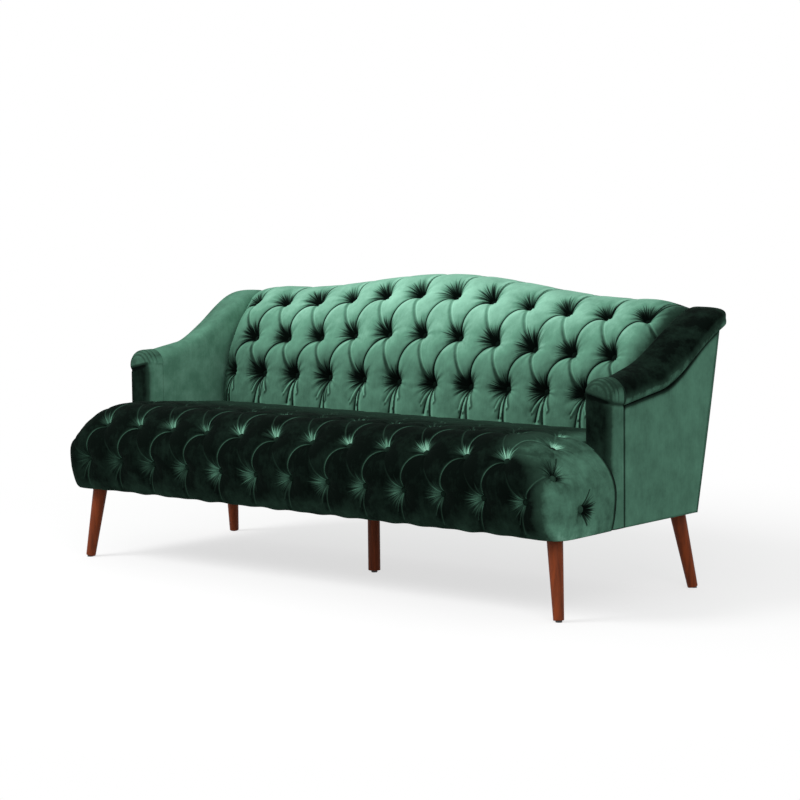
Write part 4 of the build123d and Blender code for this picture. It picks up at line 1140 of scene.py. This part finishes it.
def arm_skin(s):
    """Closed skin of the right inside arm and roll. Its section climbs the inside, goes over the
    crown on two quarter ellipses and under the roll on a third to the seam. The sections are
    carried to the rear along the top line, where the roll grows squarer, and its last part
    shrinks to a lobe. The crown moves from the middle of the arm to its inside."""
    along = np.insert(np.linspace(0.0, 1.0, steps(ARM_LENGTH, s.plain_step) + 1), 1, 0.001)
    y = s.cap_back + (ARM_REAR - s.cap_back) * along
    top, edge, seam = arm_top(s, y), roll_edge(s, y), roll_seam(s, y)
    half = arm_half(s)
    inset = half * (1 - 0.56 * ease((y - s.cap_back) / 0.17))
    crown_x = s.half_inside + inset
    rear = ease((y - 0.200) / 0.160)
    belly = FRONT_BELLY + 0.3 * (top - ROLL_HEIGHT - seam)
    belly = belly + (REAR_BELLY - belly) * rear
    square = 1 - 0.4 * rear
    climb = np.linspace(0.0, 1.0, 40)[:, None]
    inner, outer, under = quarter(16), quarter(20), quarter(18)
    one = np.ones_like(y)[None]
    lining = (s.half_inside + LINING) * one
    x = np.concatenate((
        s.half_inside * one * np.ones_like(climb),
        crown_x - inset * np.cos(inner),
        crown_x + (edge - crown_x) * np.sin(outer) ** square,
        s.half_body - SEAM_INSET + (edge - s.half_body + SEAM_INSET) * np.cos(under),
        (s.half_body - 0.006) * one, lining, lining))
    z = np.concatenate((
        ARM_FOOT + (top - CROWN_HEIGHT - ARM_FOOT) * climb,
        top - CROWN_HEIGHT + CROWN_HEIGHT * np.sin(inner),
        top - belly + belly * np.maximum(np.cos(outer), 0.0) ** square,
        top - belly - (top - belly - seam) * np.sin(under),
        (seam + 0.004)[None], (top - 0.050)[None], ARM_FOOT * one))
    lobe = np.clip((along - LOBE_START) / (1 - LOBE_START), 0.0, 1.0)
    close = 0.25 * lobe ** 2 * ease((z - (top - ROLL_HEIGHT)) / 0.04)
    x = x + (s.half_inside + half + 0.008 - x) * close
    z = z + (top - 0.036 - z) * close
    depth = s.cap_back + 0.0002 + (rear_face(z) - 0.004 - s.cap_back) * along
    return closed_skin(points_of(x, depth, z), wrap=True)


def cap_marks(s, points):
    """Share of an arm's front cap that is knob, and lines on the knob's seam and its pleats. The
    seam falls to the outside and stops short of the inside; the pleats are arcs over the knob."""
    half = arm_half(s)
    across = (np.abs(points[:, 0]) - s.half_inside) / (2 * half)
    back = points[:, 1] - s.arm_front
    level = points[:, 2] - (s.knob_seam + 0.010 - 0.022 * across - 0.13 * back)
    knob = ease(level / 0.014)
    seam = np.exp(-(level / KNOB_SEAM_WIDTH) ** 2) * ease((across - 0.1) / 0.2)
    rise = np.maximum(points[:, 2] - (s.arm_height - half), 0.0)
    over = np.hypot((across - 0.5) * 2 * half, rise) + back
    pleat = sum(np.exp(-((over - place) / KNOB_PLEAT_WIDTH) ** 2) for place in KNOB_PLEATS)
    return knob, seam, pleat * knob


def cap_skin(s):
    """Closed skin of the right arm's front cap. A path goes up the inside edge, round the top and
    down the outside; from it the front face runs in to the middle line, with a rounded rim, and
    the side runs back to the seam. The knob then swells over its seam and its pleats."""
    half = arm_half(s)
    turn_z = s.arm_height - half
    straight = np.linspace(s.seat_bottom, turn_z, steps(turn_z - s.seat_bottom, CAP_STEP) + 1)
    turn = np.linspace(0.0, math.pi, 97)[1:-1]
    side = np.concatenate((-np.ones_like(straight), -np.cos(turn), np.ones_like(straight)))
    lift = np.pad(np.sin(turn), len(straight))
    base_z = np.concatenate((straight, np.full(len(turn), turn_z), straight[::-1]))
    depth = s.cap_back - s.arm_front
    corner = np.linspace(0.0, math.pi / 2, 16)[1:]
    face = np.linspace(0.0, half - CAP_RIM, 14)
    wall = np.append(np.linspace(CAP_RIM, depth, 20)[1:-1], (depth - 0.0004, depth))
    rim = half - CAP_RIM + CAP_RIM * np.sin(corner)
    spread = np.concatenate((face, rim, np.full(len(wall), half), (0.0,)))[:, None]
    back = np.concatenate((np.zeros(len(face)), CAP_RIM * (1 - np.cos(corner)), wall, (depth,)))[:, None]
    x = s.half_inside + half + spread * side
    skin = closed_skin(points_of(x, s.arm_front + back, base_z + spread * lift))
    knob, seam, pleat = cap_marks(s, skin.points)
    push = skin.normals * (0.003 * knob - 0.0018 * seam - 0.0009 * pleat)[:, None]
    push[skin.points[:, 1] > s.cap_back - 0.0002] *= (1.5, 0.0, 1.5)
    skin.moved(skin.points + push)
    return skin


def arm_painted_light(skin, left, over, right):
    """Painted light and shade of an arm by which way its faces turn: one value on the faces turned to
    the left of the sofa, one on the front and top, and one on the faces turned to the right."""
    to_left, to_right = (np.clip(way * skin.normals[:, 0], 0.0, 1.0) ** 2.2 for way in (-1, 1))
    return over + (left - over) * to_left + (right - over) * to_right


def arm_layers(skin, sign):
    """Painted light and crush of an arm: its own value at the rear end and at the front seam, and the
    roll's outside lighter with painted sheen underneath and to the rear, and more crushed underneath."""
    outwards = sign * skin.normals[:, 0]
    nap = arm_painted_light(skin, *(RIGHT_ARM_PAINTED_LIGHT if sign > 0 else LEFT_ARM_PAINTED_LIGHT))
    nap = nap + (OUTSIDE_BACK_PAINTED_LIGHT - nap) * ease((skin.normals[:, 1] - 0.6) / 0.3)
    nap = nap + (ARM_FRONT_PAINTED_SHADE - nap) * ease((-skin.normals[:, 1] - 0.5) / 0.3)
    outside = ease((outwards + 0.3) / 0.4)
    under = ease((0.45 - skin.normals[:, 2]) / 0.9)
    rear = ease((skin.points[:, 1] - 0.34) / 0.05)
    return {"nap": nap + outside * (0.38 * under + 0.10 * rear),
            "crush": ARM_CRUSH + outside * (0.06 + 0.7 * under)}


def cap_layers(s, skin, sign):
    """Painted light and crush of an arm's front cap: a lighter knob, and painted shade at its seam and its
    pleats.
    """
    knob, seam, pleat = cap_marks(s, skin.points)
    nap = arm_painted_light(skin, *(RIGHT_CAP_PAINTED_LIGHT if sign > 0 else LEFT_CAP_PAINTED_LIGHT))
    upper = ease((skin.points[:, 2] - 0.38) / 0.15)
    # A little painted shade high on the cap's outer face
    nap = nap - 0.08 * upper * np.clip(sign * skin.normals[:, 0], 0.0, 1.0)
    nap = np.maximum(nap, (RIGHT_KNOB_PAINTED_LIGHT if sign > 0 else LEFT_KNOB_PAINTED_LIGHT) * knob)
    return {"nap": nap - 0.11 * pleat - 0.2 * seam, "crush": ARM_CRUSH}


class SOFA_OT_arms(Operator):
    """Builds the inside arms with their rolls, and the arms' front caps"""

    bl_idname = "sofa.arms"
    bl_label = "Arms"

    def execute(self, context):
        s = context.scene.sofa_sizes
        arm, cap = arm_skin(s), cap_skin(s)
        pairs = (("right", 1.0, arm, cap), ("left", -1.0, mirrored(arm), mirrored(cap)))
        for side, sign, arm, cap in pairs:
            make_velvet(side + "_arm", arm, [side + "_arm_pad"], arm_layers(arm, sign))
            layers = cap_layers(s, cap, sign)
            make_velvet(side + "_arm_front", cap, [side + "_arm_front_pad"], layers)
        return {"FINISHED"}


# Outside panels

PANEL_WIDTH = 0.46
PANEL_HEIGHT = 0.36
PANEL_REAR = 0.400
PANEL_LAP = 0.008
PANEL_DEPTH = 0.008
PANEL_FULLNESS = 0.004
BACK_PANEL_HEIGHT = 0.55
BACK_PANEL_DEPTH = 0.010
BACK_PANEL_FULLNESS = 0.003
PANEL_RIM = 0.004
PANEL_DRAW = 0.003
PANEL_CRUSH = 0.34


def panel_skin(front, axis, behind):
    """Closed skin of a panel: a front grid, and behind it the same grid set back along an axis."""
    back = front.copy()
    back[:, :, axis] = behind
    return closed_skin(np.concatenate((front, back[::-1])), wrap=True)


def rim_draw(to_side, up, height):
    """How far a panel draws in at its rim, by the distance to the nearest edge."""
    to_end = np.minimum((1 - up) * height, up * height + PANEL_RIM)
    return PANEL_DRAW * np.exp(-np.minimum(to_side, to_end[:, None]) / PANEL_RIM)


def arm_panel_skin(s):
    """Right outside arm panel: a slightly full sheet between the edge of the velvet and the roll
    seam, from the front cap to the rear face, drawn in round its edge."""
    across = np.linspace(0.0, 1.0, steps(PANEL_WIDTH, s.plain_step) + 1)
    up = np.linspace(0.0, 1.0, steps(PANEL_HEIGHT, s.plain_step) + 1)
    top = roll_seam(s, s.cap_back + (PANEL_REAR - s.cap_back) * across) + PANEL_LAP
    z = s.seat_bottom + (top - s.seat_bottom) * up[:, None]
    y = s.cap_back + (rear_face(z) - 0.005 - s.cap_back) * across
    full = PANEL_FULLNESS * np.sin(math.pi * across) * np.sin(math.pi * up)[:, None]
    x = s.half_body + full - rim_draw(np.minimum(across, 1 - across) * PANEL_WIDTH, up, PANEL_HEIGHT)
    return panel_skin(points_of(x, y, z), 0, s.half_body - PANEL_DEPTH)


def back_panel_skin(s):
    """Outside back panel: a sheet on the sloping rear face, level at its lower edge and cut to
    the camel line and the arms' ends at its top."""
    across = np.linspace(-1.0, 1.0, steps(2 * s.half_body, 0.010) + 1)
    up = np.linspace(0.0, 1.0, steps(BACK_PANEL_HEIGHT, 0.008) + 1)
    x = s.half_body * across
    shoulder = BACK_Z[-1] + hump(s, np.clip(x, -s.half_inside, s.half_inside))
    end = arm_top(s, PANEL_REAR) - 0.024
    top = shoulder + (end - shoulder) * ease((np.abs(x) - s.half_inside + 0.01) / 0.05)
    z = s.seat_bottom + (top - s.seat_bottom) * up[:, None]
    full = BACK_PANEL_FULLNESS * np.sin(math.pi * up)[:, None]
    y = rear_face(z) + full - rim_draw((1 - np.abs(across)) * s.half_body, up, BACK_PANEL_HEIGHT)
    return panel_skin(points_of(x, y, z), 1, rear_face(z) - BACK_PANEL_DEPTH)


class SOFA_OT_panels(Operator):
    """Builds the outside arm panels and the outside back"""

    bl_idname = "sofa.panels"
    bl_label = "Outside panels"

    def execute(self, context):
        s = context.scene.sofa_sizes
        right = arm_panel_skin(s)
        for side, skin in (("right", right), ("left", mirrored(right))):
            y, z = skin.points.T[1:]
            # Painted shade along the seams at the front cap and under the roll, on a painted light level
            # that rises a little to the rear
            seam = np.exp(-((y - s.cap_back) / 0.006) ** 2) + np.exp(-((roll_seam(s, y) - z) / 0.009) ** 2)
            nap = 0.56 + 0.05 * ease((y - 0.05) / 0.25) - 0.60 * np.clip(seam, 0.0, 1.0)
            layers = {"nap": nap, "crush": PANEL_CRUSH}
            make_velvet(side + "_outside_arm", skin, [side + "_outside_arm_panel"], layers)
        layers = {"nap": OUTSIDE_BACK_PAINTED_LIGHT, "crush": PANEL_CRUSH}
        make_velvet("outside_back", back_panel_skin(s), ["outside_back_panel"], layers)
        return {"FINISHED"}


# Legs and hidden pieces

LEGS = ("left_front_leg", "right_front_leg", "left_rear_leg", "right_rear_leg", "centre_leg")
FOOT_BAND = 0.004
HEAD_BAND = 0.008
LEG_GAP = 0.001
FOOT_ROUND = 0.002

# Finishes of the pieces that CAD shows: name, two colours, noise scale and roughness.
PLAIN_FINISHES = {
    "frame_wood": ("frame_beech", (0.36, 0.22, 0.11), (0.52, 0.35, 0.19), 6.0, 0.6),
    "lining_board": ("lining_board", (0.20, 0.13, 0.07), (0.30, 0.20, 0.12), 60.0, 0.8),
    "steel": ("zinc_steel", (0.42, 0.43, 0.44), (0.58, 0.58, 0.58), 90.0, 0.32),
    "lining_cloth": ("black_lining", (0.010, 0.010, 0.011), (0.028, 0.028, 0.030), 700.0, 0.9),
    "webbing": ("webbing", (0.05, 0.05, 0.05), (0.30, 0.28, 0.24), 160.0, 0.85),
    "glide_plastic": ("glide_plastic", (0.015, 0.014, 0.013), (0.030, 0.028, 0.026), 120.0, 0.45),
}
FINISH_EXTRAS = {
    "frame_wood": {"stretch": (3.0, 30.0, 30.0)},
    "steel": {"metallic": 1.0},
    "webbing": {"stretch": (1.0, 0.1, 0.1)},
}


def leg_skin(s, node):
    """Turned leg: a straight taper round the line between the middles of its CAD node's ends,
    with a small round at the foot. The centre leg is as thick as its node all the way."""
    low, high = (np.array(corner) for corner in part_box(node))
    mesh = frame["nodes"][node].data
    points = np.empty(len(mesh.vertices) * 3, dtype=np.float32)
    mesh.vertices.foreach_get("co", points)
    points = points.reshape(-1, 3)
    foot = points[points[:, 2] < low[2] + FOOT_BAND]
    head = points[points[:, 2] > high[2] - HEAD_BAND]
    foot, head = ((end.min(axis=0) + end.max(axis=0)) / 2 for end in (foot, head))
    foot[2], head[2] = low[2] + LEG_GAP, high[2] - LEG_GAP
    axis = unit(head - foot)
    half = (high[0] - low[0]) / 2
    radius_foot, radius_top = (half, half) if node == "centre_leg" else (s.leg_foot, s.leg_top)
    length = np.linalg.norm(head - foot)
    bend = np.linspace(0.0, math.pi / 2, 6)
    shaft = np.linspace(0.01, 1.0, 24) * length
    station = np.concatenate(((0.0,), FOOT_ROUND * (1 - np.cos(bend)), shaft, (length,)))
    radius = radius_foot + (radius_top - radius_foot) * station / length
    radius[1:1 + len(bend)] -= FOOT_ROUND * (1 - np.sin(bend))
    radius[[0, -1]] = 0.0
    across, up = surface_axes(axis[None])
    turn = np.linspace(0.0, 2 * math.pi, s.leg_sides + 1)
    circle = np.cos(turn)[:, None] * across + np.sin(turn)[:, None] * up
    grid = foot + station[:, None, None] * axis + radius[:, None, None] * circle[None]
    return Skin(grid.reshape(-1, 3), grid_quads(*grid.shape[:2]))


class SOFA_OT_legs(Operator):
    """Builds the turned legs"""

    bl_idname = "sofa.legs"
    bl_label = "Legs"

    def execute(self, context):
        s = context.scene.sofa_sizes
        walnut = walnut_finish(context.scene.sofa_colours)
        for node in LEGS:
            make_piece(node + "_turned", leg_skin(s, node), walnut, [node])
        return {"FINISHED"}


class SOFA_OT_frame(Operator):
    """Gives the frame, springs, cloth and fittings their finishes"""

    bl_idname = "sofa.frame"
    bl_label = "Frame and fittings"

    def execute(self, context):
        finishes = {slot: plain_finish(*values, **FINISH_EXTRAS.get(slot, {}))
                    for slot, values in PLAIN_FINISHES.items()}
        slots = {part["node"]: part["material_slot"] for part in frame["record"]["subparts"]}
        for name, node in frame["nodes"].items():
            if node.hide_render:
                continue
            node.data.materials.clear()
            node.data.materials.append(finishes.get(slots.get(name), finishes["frame_wood"]))
        return {"FINISHED"}


# Stage

CAMERA_PLACE = (4.66349, -5.47967, 1.23082)
CAMERA_YAW = math.radians(39.95)
CAMERA_PITCH = math.radians(5.76)
CAMERA_ROLL = math.radians(-0.62)
CAMERA_LENS = 110.88
FLOOR_REACH = 30.0
WHITE = (1.0, 1.0, 1.0, 1.0)
# The floor fades from a lit floor near the sofa to pure white: distances, then shares of white.
FLOOR_FADE = {"low": 0.9, "high": 2.4, "at_low": 0.66, "at_high": 1.0}
SKY_LIGHT = 0.54


def placed(right, up, back, place):
    """Matrix of an object from its three axes and its place."""
    matrix = np.eye(4)
    matrix[:3] = np.stack((right, up, back, place), axis=1)
    return Matrix(matrix.tolist())


def camera_matrix():
    """Place and turn of the camera from its yaw, pitch and roll."""
    level = math.cos(CAMERA_PITCH)
    back = np.array((math.sin(CAMERA_YAW) * level, -math.cos(CAMERA_YAW) * level, math.sin(CAMERA_PITCH)))
    right = np.array((math.cos(CAMERA_YAW), math.sin(CAMERA_YAW), 0.0))
    up = np.cross(back, right)
    across = math.cos(CAMERA_ROLL) * right + math.sin(CAMERA_ROLL) * up
    upward = -math.sin(CAMERA_ROLL) * right + math.cos(CAMERA_ROLL) * up
    return placed(across, upward, back, CAMERA_PLACE)


def area_lamp(name, place, aim, size, power):
    """Square soft lamp at a place, turned to face a point."""
    lamp = bpy.data.lights.new(name, "AREA")
    lamp.shape = "SQUARE"
    lamp.size = size
    lamp.energy = power
    holder = bpy.data.objects.new(name, lamp)
    bpy.context.scene.collection.objects.link(holder)
    away = unit(np.array(place) - np.array(aim))
    right = unit(np.cross((0.0, 0.0, 1.0), away))
    holder.matrix_world = placed(right, np.cross(away, right), away, place)


def shown_rays(start):
    """1 for the rays that show the surround to the camera, in gloss or through glass, and 0 for
    the rest."""
    camera, gloss, glass = (start.node("ShaderNodeLightPath", output=name)
                            for name in ("Is Camera Ray", "Is Glossy Ray", "Is Transmission Ray"))
    return camera + gloss + glass


def floor_finish(colours):
    """White floor that takes shadows near the sofa, fades to pure white further out, and throws
    less light back at the sofa than it shows."""
    material, start = new_finish("studio_floor")
    shade, bounce = (start.node("ShaderNodeBsdfDiffuse", None, {"Color": (*colour, 1.0)})
                     for colour in (colours.floor, colours.floor_bounce))
    glow = start.node("ShaderNodeEmission", None, {"Color": WHITE, "Strength": 1.0})
    place = start.node("ShaderNodeTexCoord", output=3)
    far = start.node("ShaderNodeVectorMath", {"operation": "LENGTH"}, {0: place}, output=1)
    fade = smooth_range(start, far, **FLOOR_FADE)
    shown = start.node("ShaderNodeMixShader", None, {0: fade, 1: shade, 2: glow})
    close_tree(start.node("ShaderNodeMixShader", None, {0: shown_rays(start), 1: bounce, 2: shown}))
    return material


class SOFA_OT_stage(Operator):
    """Builds the floor, the lamps, the white surround and the camera"""

    bl_idname = "sofa.stage"
    bl_label = "Stage"

    def execute(self, context):
        scene = context.scene
        scene.view_settings.view_transform = "Standard"
        mesh = bpy.data.meshes.new("floor")
        corners = [(x * FLOOR_REACH, y * FLOOR_REACH, 0) for x, y in ((-1, -1), (1, -1), (1, 1), (-1, 1))]
        mesh.from_pydata(corners, [], [(0, 1, 2, 3)])
        mesh.materials.append(floor_finish(scene.sofa_colours))
        floor = bpy.data.objects.new("floor", mesh)
        scene.collection.objects.link(floor)
        world = bpy.data.worlds.new("studio")
        scene.world = world
        world.use_nodes = True
        world.node_tree.nodes.clear()
        sky = Value(world.node_tree)
        strength = SKY_LIGHT + shown_rays(sky) * (1 - SKY_LIGHT)
        light = sky.node("ShaderNodeBackground", None, {"Color": WHITE, "Strength": strength})
        close_tree(light, "ShaderNodeOutputWorld")
        area_lamp("key", place=(-2.2, -3.2, 3.6), aim=(0.0, 0.0, 0.4), size=2.2, power=190.0)
        area_lamp("fill", place=(3.4, -2.6, 2.4), aim=(0.2, 0.0, 0.4), size=2.6, power=60.0)
        lens = bpy.data.cameras.new("camera")
        lens.sensor_width = 36.0
        lens.lens = CAMERA_LENS
        lens.clip_end = 100.0
        camera = bpy.data.objects.new("camera", lens)
        scene.collection.objects.link(camera)
        camera.matrix_world = camera_matrix()
        scene.camera = camera
        return {"FINISHED"}


PIECES = (SOFA_OT_stage, SOFA_OT_back, SOFA_OT_seat, SOFA_OT_arms, SOFA_OT_panels, SOFA_OT_legs,
          SOFA_OT_frame)


class SOFA_PT_pieces(Panel):
    """Lists the sofa's pieces and sizes"""

    bl_idname = "SOFA_PT_pieces"
    bl_label = "Sofa"
    bl_space_type = "VIEW_3D"
    bl_region_type = "UI"
    bl_category = "Sofa"

    def draw(self, context):
        for piece in PIECES:
            self.layout.operator(piece.bl_idname)
        for group in (context.scene.sofa_sizes, context.scene.sofa_colours):
            for name in group.bl_rna.properties.keys():
                if name not in ("rna_type", "name"):
                    self.layout.prop(group, name)


CLASSES = (SofaSizes, SofaColours, *PIECES, SOFA_PT_pieces)


def register():
    """Registers the classes and hangs the sizes and colours on the scene."""
    for cls in CLASSES:
        bpy.utils.register_class(cls)
    bpy.types.Scene.sofa_sizes = PointerProperty(type=SofaSizes)
    bpy.types.Scene.sofa_colours = PointerProperty(type=SofaColours)


def unregister():
    """Takes back what register added."""
    del bpy.types.Scene.sofa_sizes
    del bpy.types.Scene.sofa_colours
    for cls in reversed(CLASSES):
        bpy.utils.unregister_class(cls)


def main():
    """Builds every piece in order."""
    register()
    bpy.ops.sofa.stage()
    bpy.ops.sofa.back()
    bpy.ops.sofa.seat()
    bpy.ops.sofa.arms()
    bpy.ops.sofa.panels()
    bpy.ops.sofa.legs()
    bpy.ops.sofa.frame()
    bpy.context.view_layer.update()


if __name__ == "__main__":
    main()
